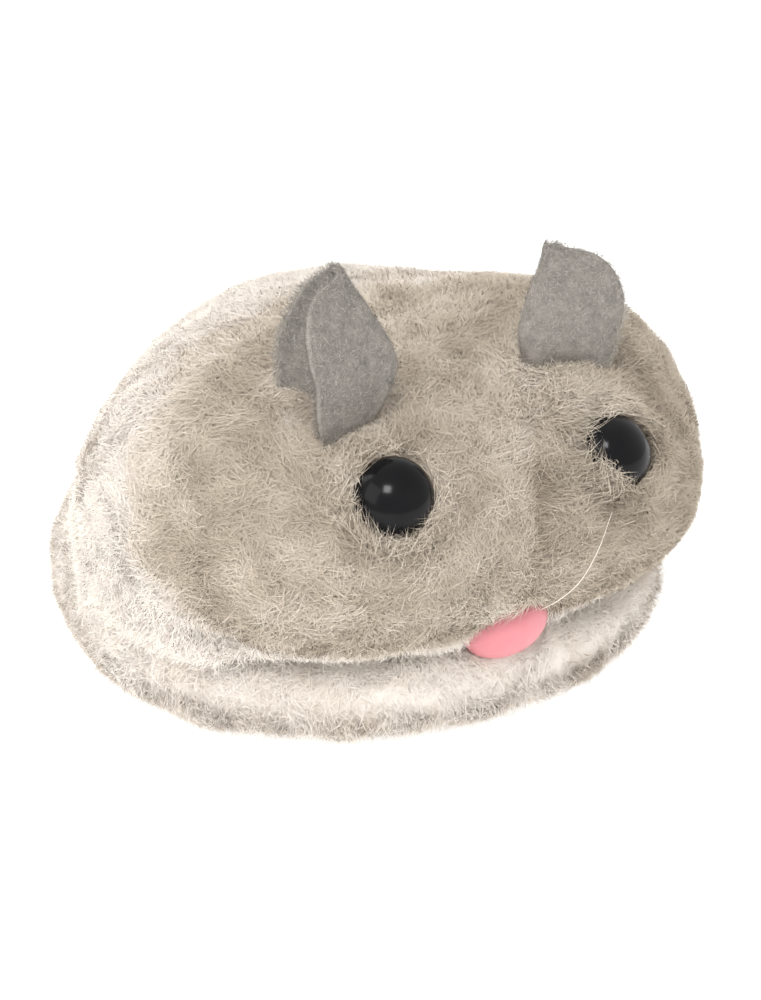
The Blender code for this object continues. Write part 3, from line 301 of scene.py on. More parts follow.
def strand_object(name, points, outward, width, shades, materials, rng):
    """Slim leaves from root over knee to tip, points (n, 3, 3), turned to face outward."""
    n = len(points)
    along = unit(points[:, 2] - points[:, 0] + 1e-6)
    side = unit(unit(np.cross(along, outward) + 1e-6) + rng.normal(size=(n, 3)) * 0.22)
    half = side * (width / 2)[:, None]
    verts = np.stack([points[:, 0], points[:, 1] - half, points[:, 1] + half, points[:, 2]], 1)
    loops = ((np.arange(n) * 4)[:, None] + np.array([0, 2, 1, 1, 2, 3])).reshape(-1).astype(np.int32)
    mesh = bpy.data.meshes.new(name)
    mesh.vertices.add(n * 4)
    mesh.vertices.foreach_set("co", (verts.reshape(-1) * MM).astype(np.float32))
    mesh.loops.add(len(loops))
    mesh.loops.foreach_set("vertex_index", loops)
    mesh.polygons.add(n * 2)
    mesh.polygons.foreach_set("loop_start", np.arange(0, n * 6, 3, dtype=np.int32))
    mesh.polygons.foreach_set("loop_total", np.full(n * 2, 3, np.int32))
    for material in materials:
        mesh.materials.append(material)
    index = np.clip(shades, 0, len(materials) - 1).astype(np.int32)
    mesh.polygons.foreach_set("material_index", index.reshape(-1))
    mesh.update(calc_edges=True)
    mesh.shade_smooth()
    lit = unit(outward + rng.normal(size=(n, 3)) * 0.10)
    mesh.normals_split_custom_set_from_vertices(np.repeat(lit, 4, axis=0))
    obj = bpy.data.objects.new(name, mesh)
    bpy.context.scene.collection.objects.link(obj)
    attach(obj, "chassis")
    return obj


# ---------------------------------------------------------------- materials


def plain(name, colour, roughness, metallic=0.0, **more):
    """A Principled finish of one colour, with further inputs by name."""
    material = bpy.data.materials.new(name)
    material.use_nodes = True
    shader = material.node_tree.nodes["Principled BSDF"]
    shader.inputs["Base Color"].default_value = (*colour, 1.0)
    shader.inputs["Roughness"].default_value = roughness
    shader.inputs["Metallic"].default_value = metallic
    for key, value in more.items():
        shader.inputs[key.replace("_", " ")].default_value = value
    return material


def grained(
    name, low, high, rough, scale, metallic=0.0, bump=0.15, stretch=(1, 1, 1), detail=6.0, coat=0.0, shine=0.5
):
    """A finish whose colour, roughness and relief vary with noise of a given scale per metre."""
    material = plain(name, low, rough[0], metallic)
    tree = material.node_tree
    shader = tree.nodes["Principled BSDF"]
    shader.inputs["Coat Weight"].default_value = coat
    shader.inputs["Specular IOR Level"].default_value = shine
    place = tree.nodes.new("ShaderNodeTexCoord")
    mapping = tree.nodes.new("ShaderNodeMapping")
    mapping.inputs["Scale"].default_value = stretch
    noise = tree.nodes.new("ShaderNodeTexNoise")
    noise.inputs["Scale"].default_value = scale
    noise.inputs["Detail"].default_value = detail
    ramp = tree.nodes.new("ShaderNodeValToRGB")
    ramp.color_ramp.elements[0].position = 0.32
    ramp.color_ramp.elements[1].position = 0.68
    ramp.color_ramp.elements[0].color = (*low, 1)
    ramp.color_ramp.elements[1].color = (*high, 1)
    roughness = tree.nodes.new("ShaderNodeMapRange")
    roughness.inputs["To Min"].default_value = rough[0]
    roughness.inputs["To Max"].default_value = rough[1]
    relief = tree.nodes.new("ShaderNodeBump")
    relief.inputs["Strength"].default_value = bump
    relief.inputs["Distance"].default_value = 0.0002
    link = tree.links.new
    link(place.outputs["Object"], mapping.inputs["Vector"])
    link(mapping.outputs["Vector"], noise.inputs["Vector"])
    link(noise.outputs["Fac"], ramp.inputs["Fac"])
    link(ramp.outputs["Color"], shader.inputs["Base Color"])
    link(noise.outputs["Fac"], roughness.inputs["Value"])
    link(roughness.outputs["Result"], shader.inputs["Roughness"])
    link(noise.outputs["Fac"], relief.inputs["Height"])
    link(relief.outputs["Normal"], shader.inputs["Normal"])
    return material


# Pile shades from the dark foot of a grey fibre to the ivory tip of a white one.
SHADE_STOPS = (
    (0.0, (0.230, 0.190, 0.150)),
    (0.25, (0.400, 0.335, 0.262)),
    (0.50, (0.590, 0.512, 0.412)),
    (0.70, (0.740, 0.662, 0.565)),
    (0.85, (0.870, 0.812, 0.748)),
    (1.0, (0.930, 0.885, 0.838)),
)
SHADE_COUNT = 14


def pile_shades():
    """Materials of the pile, from dark to white."""
    stops = np.array([s for s, _c in SHADE_STOPS])
    colours = np.array([c for _s, c in SHADE_STOPS])
    shades = []
    for i in range(SHADE_COUNT):
        t = i / (SHADE_COUNT - 1)
        colour = [float(np.interp(t, stops, colours[:, k])) for k in range(3)]
        shades.append(plain(f"pile_{i:02d}", colour, 0.85, 0.0, Specular_IOR_Level=0.25))
    return shades


# ---------------------------------------------------------------- pile


def eye_axis(word):
    """Where an eye is seated on the pile, and the direction that it looks."""
    place = EYE_PLACES[word]
    slope = np.array([place[0] / HALF_WIDTH**2, place[1] / FRONT**2, (place[2] - CENTRE[2]) / ABOVE**2])
    out = slope / np.linalg.norm(slope)
    d = unit(place - CENTRE)
    seat = CENTRE + d * (envelope(d[None])[0] - 1.0) + out * EYE_STANDOFF
    return seat, out


def frame_of(direction, roll=0.0):
    """Matrix whose X runs along direction, as the CAD pieces on the face are turned."""
    x = Vector(direction).normalized()
    y = Vector((0, 0, 1)).cross(x).normalized()
    z = x.cross(y)
    return Matrix((x, y, z)).transposed() @ Matrix.Rotation(roll, 3, "X")


def covered(points):
    """True for strands that would run into an eye, the nose or the key's eyelet."""
    bad = np.zeros(len(points), bool)
    turn = np.array(frame_of(unit(NOSE_DIRECTION), NOSE_ROLL))
    for k in range(points.shape[1]):
        for word in ("left", "right"):
            seat, out = eye_axis(word)
            q = points[:, k] - seat
            height = q @ out
            radial = np.linalg.norm(q - height[:, None] * out, axis=1)
            dome = EYE_HEIGHT * np.sqrt(np.clip(1 - (radial / (EYE_RADIUS + 0.1)) ** 2, 0, 1))
            bad |= (radial < EYE_RADIUS + 0.05) & (height > -1.5) & (height < dome + 0.1)
            bad |= (radial < 3.1) & (height > 0)
        q = (points[:, k] - NOSE_PLACE) @ turn
        radial = np.hypot(q[:, 1] / NOSE_HALF_WIDTH, q[:, 2] / (NOSE_HALF_WIDTH * NOSE_FLATNESS))
        dome = NOSE_HEIGHT * np.sqrt(np.clip(1 - radial**2, 0, 1))
        bad |= (radial < 1.02) & (q[:, 0] > -1.5) & (q[:, 0] < dome + 0.1)
        bad |= (radial < 0.62) & (q[:, 0] > 0) & (q[:, 2] < 1.2)
        q = points[:, k]
        off_axis = np.hypot(q[:, 1] - KEY_AXIS[0], q[:, 2] - KEY_AXIS[1])
        bad |= (off_axis < EYELET_CLEARANCE) & (q[:, 0] > 20)
    return bad


def whiteness(p, waver):
    """0 where the pile is grey, 1 on the pale rump, the rear flanks and below the front hem."""
    edge = 7.0 - 0.0155 * p[:, 0] ** 2 + 1.2 * waver
    rump = smooth(-10.0, 1.5, p[:, 1] - edge)
    rise = 10.2 + 0.56 * np.clip(p[:, 1] + 28.0, 0, 40) + 0.35 * waver
    low = smooth(0.7 + 3.5 * smooth(-25.0, -17.0, p[:, 1]), -0.7, p[:, 2] - rise)
    return np.maximum(rump, low)


def flow(p, n):
    """Direction the pile is brushed: away from the snout, and down towards the hem on the flanks."""
    away = p - np.array([0.0, -33.0, 15.0])
    away = unit(away) + np.array([0, 0, -1.0]) * smooth(22.0, 12.0, p[:, 2])[:, None] * 0.9
    away = away - (away * n).sum(-1, keepdims=True) * n
    return unit(away)


def tuft_strands(rng, place, outward, lean, drop, tone, sink, settle):
    """Curled strands of the tufts at place: up from the cloth to a knee, then laid over to the tip.

    sink finds a strand's root from its place on the surface, settle finds the point at a depth below
    the surface, lean is the way each tuft lies, drop its depth and tone its shade.
    """
    index = np.repeat(np.arange(len(place)), PER_CLUMP)
    total = len(index)
    n = outward[index]
    spread = rng.normal(size=(total, 3)) * 0.75
    spread = spread - (spread * n).sum(-1, keepdims=True) * n
    heading = lean[index] + rng.normal(size=(total, 3)) * 0.62
    heading = heading - (heading * n).sum(-1, keepdims=True) * n
    reach = heading * rng.uniform(0.7, 1.5, total)[:, None]
    upright = rng.uniform(size=total) < 0.03
    depth = drop[index] + rng.exponential(0.38, total)
    knee = settle(place[index] + spread, depth + rng.uniform(0.15, 0.75, total), n)
    top = depth + rng.normal(size=total) * 0.16 - np.where(upright, rng.uniform(0.2, 0.8, total), 0.0)
    tip = settle(place[index] + spread + reach * np.where(upright, 0.5, 1.0)[:, None], top, n)
    root = sink(place[index] + spread - reach * 0.9, n)
    points = np.stack([root, knee, tip], 1)
    level = tone(tip, index) + rng.normal(size=total) * 0.35
    shades = np.stack([level - 0.4, level + 0.2], 1)
    shades = np.round(shades + rng.uniform(-0.5, 0.5, (total, 1)))
    width = STRAND_WIDTH * rng.uniform(0.7, 1.3, total)
    tilt = lean * 0.16 + rng.normal(size=(len(place), 3)) * 0.10
    facing = unit(outward + tilt)[index]
    keep = ~covered(points) & (points[:, 2, 2] > GROUND_Z + 0.15)
    return points[keep], facing[keep], width[keep], shades[keep]


def lay(rng, place, outward, brush, amount):
    """Which way and how far each tuft is laid over: brushed a little, swirled and partly at random."""
    count = len(place)
    across = np.cross(outward, brush)
    swirl = 1.2 * Waves(rng, 9.0).at(place) + 0.5 * rng.normal(size=count)
    way = brush * np.cos(swirl)[:, None] + across * np.sin(swirl)[:, None]
    loose = rng.normal(size=(count, 3)) * 0.35
    loose = loose - (loose * outward).sum(-1, keepdims=True) * outward
    return way * amount + loose


def grey_tone(rng, place):
    """Shade of the grey and white pile, with soft mottling at a few sizes, painted shade in the snout's seam,
    the neck's fold and on the left cheek, and painted light on the forehead.
    """
    broad, patch, fleck, waver = Waves(rng, 17.0), Waves(rng, 5.0), Waves(rng, 2.6), Waves(rng, 11.0)
    own = GREY_LEVEL + 0.45 * broad.at(place) + 0.80 * patch.at(place) + 0.65 * fleck.at(place)
    # Some of these patches are painted shade or painted light on the pile.
    for spot, change, spread in TONE_AND_PAINTED_LIGHT_PATCHES:
        own = own + bump(place, spot, change, spread)
    sway = waver.at(place)

    def tone(tip, index):
        seam, neck = creases(tip)
        white = whiteness(tip, sway[index])
        # Painted shade: strands in the snout's seam and the neck's fold are made darker.
        grey = own[index] - 4.5 * seam - 1.0 * neck
        return grey * (1 - white) + WHITE_LEVEL * white

    return tone


def sink_in(place, n):
    """Where a strand is rooted, in the matted ground under its place."""
    return place - n * (MAT_DEPTH + 0.3)


def cover_strands(rng):
    """Strands of the cover: points, facings, widths and shades."""
    clumps = COVER_CLUMPS
    d = unit(rng.normal(size=(clumps * 4, 3)))
    p = on_body(d, 0.0)
    above = p[:, 2] > 10.0 + 5.0 * hem_blend(p)
    keep = above & (rng.uniform(size=len(d)) < (envelope(d) / 40.0) ** 2)
    d, p = d[keep][:clumps], p[keep][:clumps]
    n = body_normals(d)
    seam, neck = creases(p)
    drop = 0.30 * rng.uniform(size=len(p)) + 0.16 * Waves(rng, 6.0).at(p)
    drop = drop + 1.2 * seam + 0.3 * neck - fullness(p)
    lean = lay(rng, p, n, flow(p, n), 0.75)
    for word in ("left", "right"):
        inward = eye_axis(word)[0] - p
        near = np.exp(-(((np.linalg.norm(inward, axis=-1) - 4.6) / 0.9) ** 2))
        lean = lean + 0.16 * inward * near[:, None]

    def sink(place, _n):
        return on_body(unit(place - CENTRE), MAT_DEPTH + 0.2)

    def settle(place, depth, _n):
        return on_body(unit(place - CENTRE), np.clip(depth, -2.8, 4.0))

    return tuft_strands(rng, p, n, lean, drop, grey_tone(rng, p), sink, settle)


def hem_strands(rng):
    """Strands where the cover's hem runs into the skirt."""
    clumps = HEM_CLUMPS
    theta = rng.uniform(0, 2 * math.pi, clumps)
    p, n, down = hem_line(theta, rng.uniform(-0.15, 1.05, clumps))
    drop = 0.3 * rng.uniform(size=clumps) + 0.12 * Waves(rng, 8.0).at(p)
    lean = lay(rng, p, n, down, 0.75)

    def settle(place, depth, n):
        return place - n * depth[:, None]

    return tuft_strands(rng, p, n, lean, drop, grey_tone(rng, p), sink_in, settle)


def skirt_strands(rng):
    """White strands round the skirt, brushed outwards and down."""
    clumps = SKIRT_CLUMPS
    theta = rng.uniform(0, 2 * math.pi, clumps)
    flat = np.stack([np.cos(theta), np.sin(theta), np.zeros(clumps)], -1)
    top = 80.0 - 40.0 * hem_blend(flat * 34.0)
    turn = np.radians(rng.uniform(-112.0, top))
    p = on_skirt(theta, turn, 1.0)
    n = unit(flat * np.cos(turn)[:, None] + np.array([0, 0, 1.0]) * np.sin(turn)[:, None])
    down = unit(flat * np.sin(turn)[:, None] - np.array([0, 0, 1.0]) * np.cos(turn)[:, None])
    drop = 0.25 * rng.uniform(size=clumps) + 0.12 * Waves(rng, 7.0).at(p)
    lean = lay(rng, p, n, down, 0.7)
    own = WHITE_LEVEL + 0.30 * Waves(rng, 9.0).at(p)

    def settle(place, depth, n):
        tip = place - n * depth[:, None]
        tip[:, 2] = np.maximum(tip[:, 2], GROUND_Z + 0.2 + 0.5 * rng.uniform(size=len(tip)))
        return tip

    return tuft_strands(rng, p, n, lean, drop, lambda _tip, index: own[index], sink_in, settle)


def split_strands(name, data, parts, materials, rng):
    """The strands as several pieces, cut by angle round the body so that each stays a fair size."""
    points = data[0]
    angle = np.arctan2(points[:, 0, 1], points[:, 0, 0])
    edges = np.quantile(angle, np.linspace(0, 1, parts + 1))
    made = []
    for i in range(parts):
        last = i == parts - 1
        inside = (angle >= edges[i]) & ((angle <= edges[i + 1]) if last else (angle < edges[i + 1]))
        made.append(strand_object(f"{name}_{i + 1}", *(values[inside] for values in data), materials, rng))
    return made


def cover_backing(material):
    """The matted ground under the cover's pile, down to its knitted cloth."""
    columns, rows = 96, 34
    theta = np.linspace(0, 2 * math.pi, columns, endpoint=False)
    rings = []
    for lift in np.linspace(-14, 84, rows):
        c, s = math.cos(math.radians(lift)), math.sin(math.radians(lift))
        d = np.stack([c * np.cos(theta), c * np.sin(theta), np.full(columns, s)], -1)
        ring = on_body(d, MAT_DEPTH + np.maximum(creases(on_body(d, 0.0))[0], 0.0))
        ring[:, 2] = np.maximum(ring[:, 2], 9.7)
        rings.append(ring)
    verts = np.concatenate([*rings, on_body(np.array([[0.0, 0.0, 1.0]]), MAT_DEPTH)])
    faces = grid_faces(rows, columns, closed_across=True)
    top, last = len(verts) - 1, (rows - 1) * columns
    faces += [(last + j, last + (j + 1) % columns, top) for j in range(columns)]
    obj = new_object("cover_cloth", verts, faces)
    thick = obj.modifiers.new("cloth", "SOLIDIFY")
    thick.thickness = MAT_THICKNESS * MM
    thick.offset = -1
    obj.data.materials.append(material)
    return obj


def skirt_backing(material):
    """The matted ring under the skirt's pile."""
    columns, rows = 120, 26
    theta = np.linspace(0, 2 * math.pi, columns, endpoint=False)
    turns = np.linspace(0, 2 * math.pi, rows, endpoint=False)
    verts = np.concatenate([on_skirt(theta, np.full(columns, t), SKIRT_MAT_SHARE) for t in turns])
    obj = new_object("skirt_cloth", verts, grid_faces(rows, columns, True, True))
    obj.data.materials.append(material)
    return obj


# ---------------------------------------------------------------- ears


def ear_section(distance, radius=1.3):
    """Plan offset from the fold line at a signed distance along the folded leaf."""
    side = -1 if distance < 0 else 1
    final = EAR_FRONT_ANGLE if distance < 0 else EAR_BACK_ANGLE
    sweep = math.pi / 2 - abs(final)
    walked, arc = abs(distance), radius * sweep
    if walked < arc:
        t = walked / radius
        return radius * (1 - math.cos(t)), side * radius * math.sin(t)
    rest = walked - arc
    across = radius * (1 - math.cos(sweep)) + rest * math.cos(final)
    return across, side * radius * math.sin(sweep) + rest * math.sin(final)


def ear_stations(rows):
    """The ear's stations, as a smooth run of rows from its foot to its tip."""
    table = smooth_route([np.array(station) for station in EAR_STATIONS], 12)
    table = np.array(table)
    z = np.linspace(table[0, 0], table[-1, 0], rows + 1)
    return np.stack([z] + [np.interp(z, table[:, 0], table[:, k]) for k in range(1, 5)], 1)


def ear_points(side, lift, columns, rows):
    """Middle surface of a folded felt ear."""
    points = np.empty((rows + 1, columns + 1, 3))
    for i, (z, fold_x, fold_y, front, back) in enumerate(ear_stations(rows)):
        for j in range(columns + 1):
            share = 2 * j / columns - 1
            across, along = ear_section(share * (front if share < 0 else back))
            above_foot = z - EAR_FOOT_Z
            rise = 0.05 * across * above_foot / 10.0
            height = z + rise + lift * above_foot / EAR_RISE
            points[i, j] = (side * (fold_x + across), fold_y + along, height)
    return points


def make_ear(name, word, side, materials, rng):
    """One folded felt ear with its loose fibres."""
    columns, rows = 44, 40
    grid = ear_points(side, EAR_LIFT[word], columns, rows)
    height = np.clip((grid[:, :, 2] - 31.0) / 14.0, 0, 1)
    grid[:, :, 0] += side * EAR_SPLAY[word] * height**1.5
    grid[:, :, 1] += EAR_SETBACK[word]
    ripple = Waves(rng, 9.0)
    verts = grid.reshape(-1, 3)
    verts = verts + 0.16 * ripple.at(verts)[:, None] * np.array([0.3, 1.0, 0.2])
    grid = verts.reshape(grid.shape)
    obj = new_object(name, verts, grid_faces(rows + 1, columns + 1))
    thick = obj.modifiers.new("felt", "SOLIDIFY")
    thick.thickness = FELT_THICKNESS * MM
    thick.offset = 0.0
    obj.data.materials.append(materials["felt"])
    fuzz = ear_fuzz(name + "_fuzz", grid, materials, rng)
    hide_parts("ear_" + word)
    return obj


def ear_fuzz(name, grid, materials, rng):
    """Short loose fibres lying on both faces and along the edges of the felt."""
    count = 26000
    rows, columns = grid.shape[0] - 1, grid.shape[1] - 1
    u, v = rng.uniform(0, columns, count), rng.uniform(0, rows, count)
    edge = rng.uniform(size=count) < 0.12
    u = np.where(edge, np.where(rng.uniform(size=count) < 0.5, 0.02, columns - 0.02), u)
    i, j = np.minimum(v.astype(int), rows - 1), np.minimum(u.astype(int), columns - 1)
    fu, fv = (u - j)[:, None], (v - i)[:, None]
    a, b, c, d = grid[i, j], grid[i, j + 1], grid[i + 1, j + 1], grid[i + 1, j]
    p = a * (1 - fu) * (1 - fv) + b * fu * (1 - fv) + c * fu * fv + d * (1 - fu) * fv
    n = unit(np.cross(b - a, d - a) + 1e-9)
    face = np.where(rng.uniform(size=count) < 0.5, 1.0, -1.0)[:, None]
    root = p + n * face * 0.44
    heading = rng.normal(size=(count, 3))
    heading = unit(heading - (heading * n).sum(-1, keepdims=True) * n)
    length = rng.uniform(0.35, 1.1, count)[:, None]
    tip = root + heading * length + n * face * rng.uniform(0.00, 0.16, count)[:, None]
    middle = root + heading * length * 0.5 + n * face * 0.10
    points = np.stack([root, middle, tip], 1)
    shade = np.clip(np.round(rng.normal(1.6, 0.9, count)), 0, 3)[:, None] * np.ones((1, 2))
    width = np.full(count, 0.045)
    return strand_object(name, points, n * face, width, shade, materials["felt_fibres"], rng)


# ---------------------------------------------------------------- face and whisker


def button(name, node, radius, height, flat, seat, direction, roll, segments=64, rings=20):
    """A smooth moulded dome with a small turned-in rim, in the place of the CAD button."""
    profile = [(0.001, -0.6), (radius * 0.80, -0.6), (radius * 0.97, -0.05), (radius, 0.25)]
    for k in range(1, rings):
        t = math.pi / 2 * k / rings
        profile.append((radius * math.cos(t), 0.25 + (height - 0.25) * math.sin(t)))
    theta = np.linspace(0, 2 * math.pi, segments, endpoint=False)
    rings_of_points = [
        np.stack([np.full(segments, x), r * np.cos(theta), r * np.sin(theta) * flat], -1) for r, x in profile
    ]
    verts = np.concatenate([*rings_of_points, np.array([[height, 0.0, 0.0]])])
    rows = len(profile)
    faces = grid_faces(rows, segments, closed_across=True)
    top, last = rows * segments, (rows - 1) * segments
    faces += [(last + j, last + (j + 1) % segments, top) for j in range(segments)]
    faces.append(tuple(reversed(range(segments))))
    turn = np.array(frame_of(direction, roll))
    obj = new_object(name, verts @ turn.T + seat, faces)
    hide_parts(node)
    return obj


def tube(name, route, radii, material):
    """A round filament along a route."""
    route = np.array(route)
    ahead = unit(np.gradient(route, axis=0))
    up = np.array([0.0, 0.0, 1.0])
    side = unit(np.cross(ahead, up))
    over = np.cross(side, ahead)
    lines = []
    for t in np.linspace(0, 2 * math.pi, TUBE_SIDES, endpoint=False):
        lines.append(route + (side * math.cos(t) + over * math.sin(t)) * radii[:, None])
    verts = np.stack(lines, 1).reshape(-1, 3)
    faces = grid_faces(len(route), TUBE_SIDES, closed_across=True)
    faces.append(tuple(reversed(range(TUBE_SIDES))))
    faces.append(tuple(range((len(route) - 1) * TUBE_SIDES, len(route) * TUBE_SIDES)))
    obj = new_object(name, verts, faces)
    obj.data.materials.append(material)
    return obj


def smooth_route(points, pieces=10):
    """A smooth curve through points, with a number of pieces to each stretch."""
    pts = [np.array(p, float) for p in points]
    padded = [2 * pts[0] - pts[1], *pts, 2 * pts[-1] - pts[-2]]
    route = []
    for a, b, c, d in zip(padded, padded[1:], padded[2:], padded[3:]):
        for k in range(pieces):
            t = k / pieces
            square, cube = (2 * a - 5 * b + 4 * c - d) * t**2, (3 * b - a - 3 * c + d) * t**3
            route.append(0.5 * (2 * b + (c - a) * t + square + cube))
    return [*route, pts[-1]]


# ---------------------------------------------------------------- CAD nodes


def finish_nodes(materials):
    """Gives every CAD node that stays in sight its own finish."""
    by_slot = {
        "shell_plastic": materials["shell"],
        "plate_plastic": materials["plate"],
        "washer_plastic": materials["washer"],
        "wheel_plastic": materials["wheel"],
        "tyre_rubber": materials["tyre"],
        "key_plastic": materials["key"],
        "steel": materials["steel"],
        "spring_steel": materials["blued"],
        "brass": materials["brass"],
    }
    slots = {s["node"]: s["material_slot"] for s in frame["record"]["subparts"]}
    for name, obj in frame["nodes"].items():
        material = by_slot.get(slots.get(name))
        if material is None:
            continue
        obj.data.materials.clear()
        obj.data.materials.append(material)
        if obj.type == "MESH" and name != "body_shell":
            bevel = obj.modifiers.new("edges", "BEVEL")
            bevel.width = 0.06 * MM
            bevel.segments = 2
            bevel.limit_method = "ANGLE"
            bevel.angle_limit = math.radians(40)
            bevel.harden_normals = False


# Finishes that vary with noise: their name, both colours, both roughnesses, scale and further values.
FINISHES = {
    "grey_cloth": (
        "grey_cloth", (0.44, 0.375, 0.30), (0.58, 0.505, 0.41), (0.9, 1.0), 700, {"bump": 0.6}
    ),
    "white_cloth": (
        "white_cloth", (0.78, 0.73, 0.67), (0.90, 0.86, 0.81), (0.9, 1.0), 700, {"bump": 0.6}
    ),
    "felt": (
        "ear_felt", (0.195, 0.180, 0.162), (0.305, 0.282, 0.254), (0.9, 1.0), 750, {"bump": 0.9, "detail": 10}
    ),
    "eye": (
        "eye_gloss", (0.003, 0.003, 0.004), (0.006, 0.006, 0.007), (0.14, 0.18), 260,
        {"bump": 0.0, "shine": 0.16},
    ),
    "nose": (
        "nose_gloss", (0.58, 0.190, 0.215), (0.63, 0.220, 0.245), (0.36, 0.44), 300, {"bump": 0.03}
    ),
    "nylon": (
        "whisker_nylon", (0.86, 0.80, 0.70), (0.93, 0.89, 0.82), (0.25, 0.35), 400, {"bump": 0.0}
    ),
    "shell": (
        "shell_plastic", (0.58, 0.56, 0.52), (0.66, 0.64, 0.60), (0.42, 0.55), 500, {"bump": 0.1}
    ),
    "plate": (
        "plate_plastic", (0.235, 0.250, 0.240), (0.290, 0.305, 0.292), (0.42, 0.60), 700, {"bump": 0.25}
    ),
    "washer": (
        "washer_plastic", (0.74, 0.73, 0.70), (0.82, 0.81, 0.79), (0.38, 0.50), 500, {"bump": 0.1}
    ),
    "wheel": (
        "wheel_plastic", (0.055, 0.056, 0.060), (0.085, 0.086, 0.090), (0.38, 0.52), 600, {"bump": 0.15}
    ),
    "tyre": (
        "tyre_rubber", (0.016, 0.016, 0.016), (0.030, 0.029, 0.028), (0.72, 0.90), 900, {"bump": 0.35}
    ),
    "key": (
        "key_plastic", (0.78, 0.76, 0.71), (0.85, 0.83, 0.79), (0.28, 0.38), 350, {"bump": 0.06, "coat": 0.2}
    ),
    "steel": (
        "steel", (0.50, 0.51, 0.52), (0.64, 0.65, 0.66), (0.25, 0.42), 420,
        {"metallic": 1.0, "bump": 0.12, "stretch": (1, 6, 1)},
    ),
    "blued": (
        "spring_steel", (0.14, 0.17, 0.24), (0.24, 0.27, 0.33), (0.22, 0.36), 420,
        {"metallic": 1.0, "bump": 0.10, "stretch": (1, 6, 1)},
    ),
    "brass": (
        "brass", (0.68, 0.47, 0.18), (0.80, 0.60, 0.28), (0.22, 0.36), 420,
        {"metallic": 1.0, "bump": 0.10, "stretch": (6, 1, 1)},
    ),
}
FELT_FIBRE_COLOUR = (0.25, 0.232, 0.209)
FELT_FIBRE_SHADES = (0.7, 1.0, 1.4, 1.9)


def make_materials():
    """Every finish by name, and the felt's fibres as a list from dark to light."""
    materials = {key: grained(*values, **more) for key, (*values, more) in FINISHES.items()}
    materials["felt_fibres"] = [
        plain(f"felt_fibre_{i}", tuple(c * k for c in FELT_FIBRE_COLOUR), 0.9)
        for i, k in enumerate(FELT_FIBRE_SHADES)
    ]
    return materials


# ---------------------------------------------------------------- studio


LIGHT_AIM = Vector((0.0, 0.0, 0.015))
FLOOR_REACH = 1.6


def area_light(name, place, size, power):
    """A soft square light, turned towards the mouse."""
    data = bpy.data.lights.new(name, "AREA")
    data.shape = "SQUARE"
    data.size = size
    data.energy = power
    obj = bpy.data.objects.new(name, data)
    bpy.context.scene.collection.objects.link(obj)
    obj.location = place
    obj.rotation_mode = "QUATERNION"
    obj.rotation_quaternion = (LIGHT_AIM - Vector(place)).to_track_quat("-Z", "Y")
    return obj


def studio():
    """A pale paper floor, an even sky and three soft lights."""
    world = bpy.data.worlds.new("studio")
    bpy.context.scene.world = world
    world.use_nodes = True
    sky = world.node_tree.nodes["Background"]
    sky.inputs["Color"].default_value = (1.0, 0.99, 0.975, 1)
    sky.inputs["Strength"].default_value = 0.95
    floor_mesh = bpy.data.meshes.new("floor")
    square = ((-1, -1), (1, -1), (1, 1), (-1, 1))
    corners = [(x * FLOOR_REACH, y * FLOOR_REACH, GROUND_Z * MM) for x, y in square]
    floor_mesh.from_pydata(corners, [], [(0, 1, 2, 3)])
    floor = bpy.data.objects.new("floor", floor_mesh)
    bpy.context.scene.collection.objects.link(floor)
    paper = plain("floor_paper", (0.93, 0.93, 0.93), 0.9)
    shader = paper.node_tree.nodes["Principled BSDF"]
    shader.inputs["Emission Color"].default_value = (1, 1, 1, 1)
    shader.inputs["Emission Strength"].default_value = 0.6
    floor_mesh.materials.append(paper)
    area_light("key_light", (-0.26, -0.30, 0.55), 0.16, 1.6)
    area_light("fill_light", (-0.50, -0.05, 0.35), 0.40, 0.8)
    area_light("back_light", (-0.25, 0.45, 0.45), 0.40, 1.2)


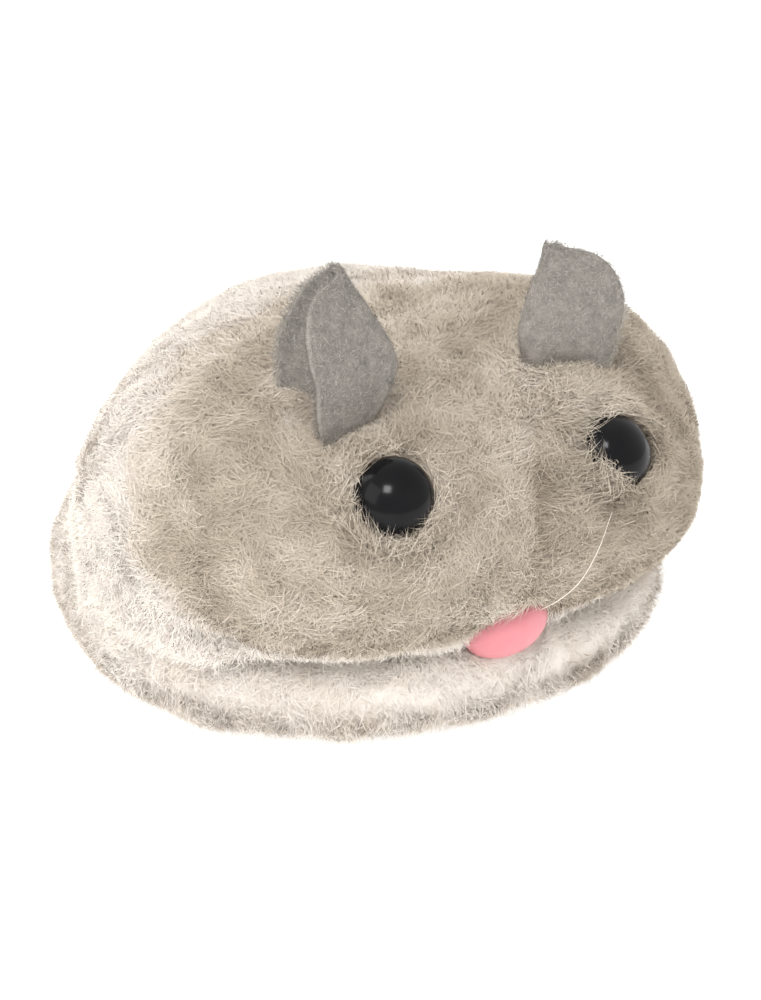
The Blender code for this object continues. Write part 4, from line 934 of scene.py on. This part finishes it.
def camera():
    """The camera, in front of the mouse's right side and above it."""
    azimuth, lift, roll = (math.radians(a) for a in (CAMERA_TURN, CAMERA_LIFT, CAMERA_ROLL))
    back = Vector((math.sin(azimuth) * math.cos(lift), -math.cos(azimuth) * math.cos(lift), math.sin(lift)))
    right = Vector((math.cos(azimuth), math.sin(azimuth), 0))
    up = back.cross(right)
    turned_right = right * math.cos(roll) + up * math.sin(roll)
    turned_up = -right * math.sin(roll) + up * math.cos(roll)
    target = Vector(CAMERA_TARGET) * MM
    data = bpy.data.cameras.new("camera")
    data.sensor_width = CAMERA_SENSOR
    data.sensor_fit = "AUTO"
    data.lens = CAMERA_LENS
    data.clip_start, data.clip_end = 0.01, 10
    cam = bpy.data.objects.new("camera", data)
    bpy.context.scene.collection.objects.link(cam)
    cam.rotation_mode = "QUATERNION"
    cam.rotation_quaternion = Matrix((turned_right, turned_up, back)).transposed().to_quaternion()
    cam.location = target + back * (CAMERA_DISTANCE * MM)
    bpy.context.scene.camera = cam
    bpy.context.scene.view_settings.view_transform = "Standard"


# ---------------------------------------------------------------- assembly


def build():
    """The whole mouse in its studio; the order of the pieces sets the order of the random draws."""
    rng = np.random.default_rng(SEED)
    materials = make_materials()
    shades = pile_shades()
    finish_nodes(materials)

    cloth = cover_backing(materials["grey_cloth"])
    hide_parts("plush_cover")
    for piece in split_strands("cover_pile", cover_strands(rng), 8, shades, rng):
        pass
    for piece in split_strands("hem_pile", hem_strands(rng), 3, shades, rng):
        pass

    ring = skirt_backing(materials["white_cloth"])
    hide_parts("plush_skirt")
    for piece in split_strands("skirt_pile", skirt_strands(rng), 2, shades, rng):
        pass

    for side, word in ((1, "left"), (-1, "right")):
        make_ear("ear_leaf_" + word, word, side, materials, rng)
        seat, out = eye_axis(word)
        eye = button("eye_dome_" + word, "eye_" + word, EYE_RADIUS, EYE_HEIGHT, 1.0, seat, out, 0.0)
        eye.data.materials.append(materials["eye"])
    ahead = unit(NOSE_DIRECTION)
    nose = button(
        "nose_dome", "nose", NOSE_HALF_WIDTH, NOSE_HEIGHT, NOSE_FLATNESS, NOSE_PLACE, ahead, NOSE_ROLL
    )
    nose.data.materials.append(materials["nose"])
    route = np.array(smooth_route(WHISKER_ROUTE))
    taper = WHISKER_RADIUS * np.linspace(1.0, 0.5, len(route))
    filament = tube("whisker_filament", route, taper, materials["nylon"])
    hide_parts("whisker")
    studio()
    camera()


build()
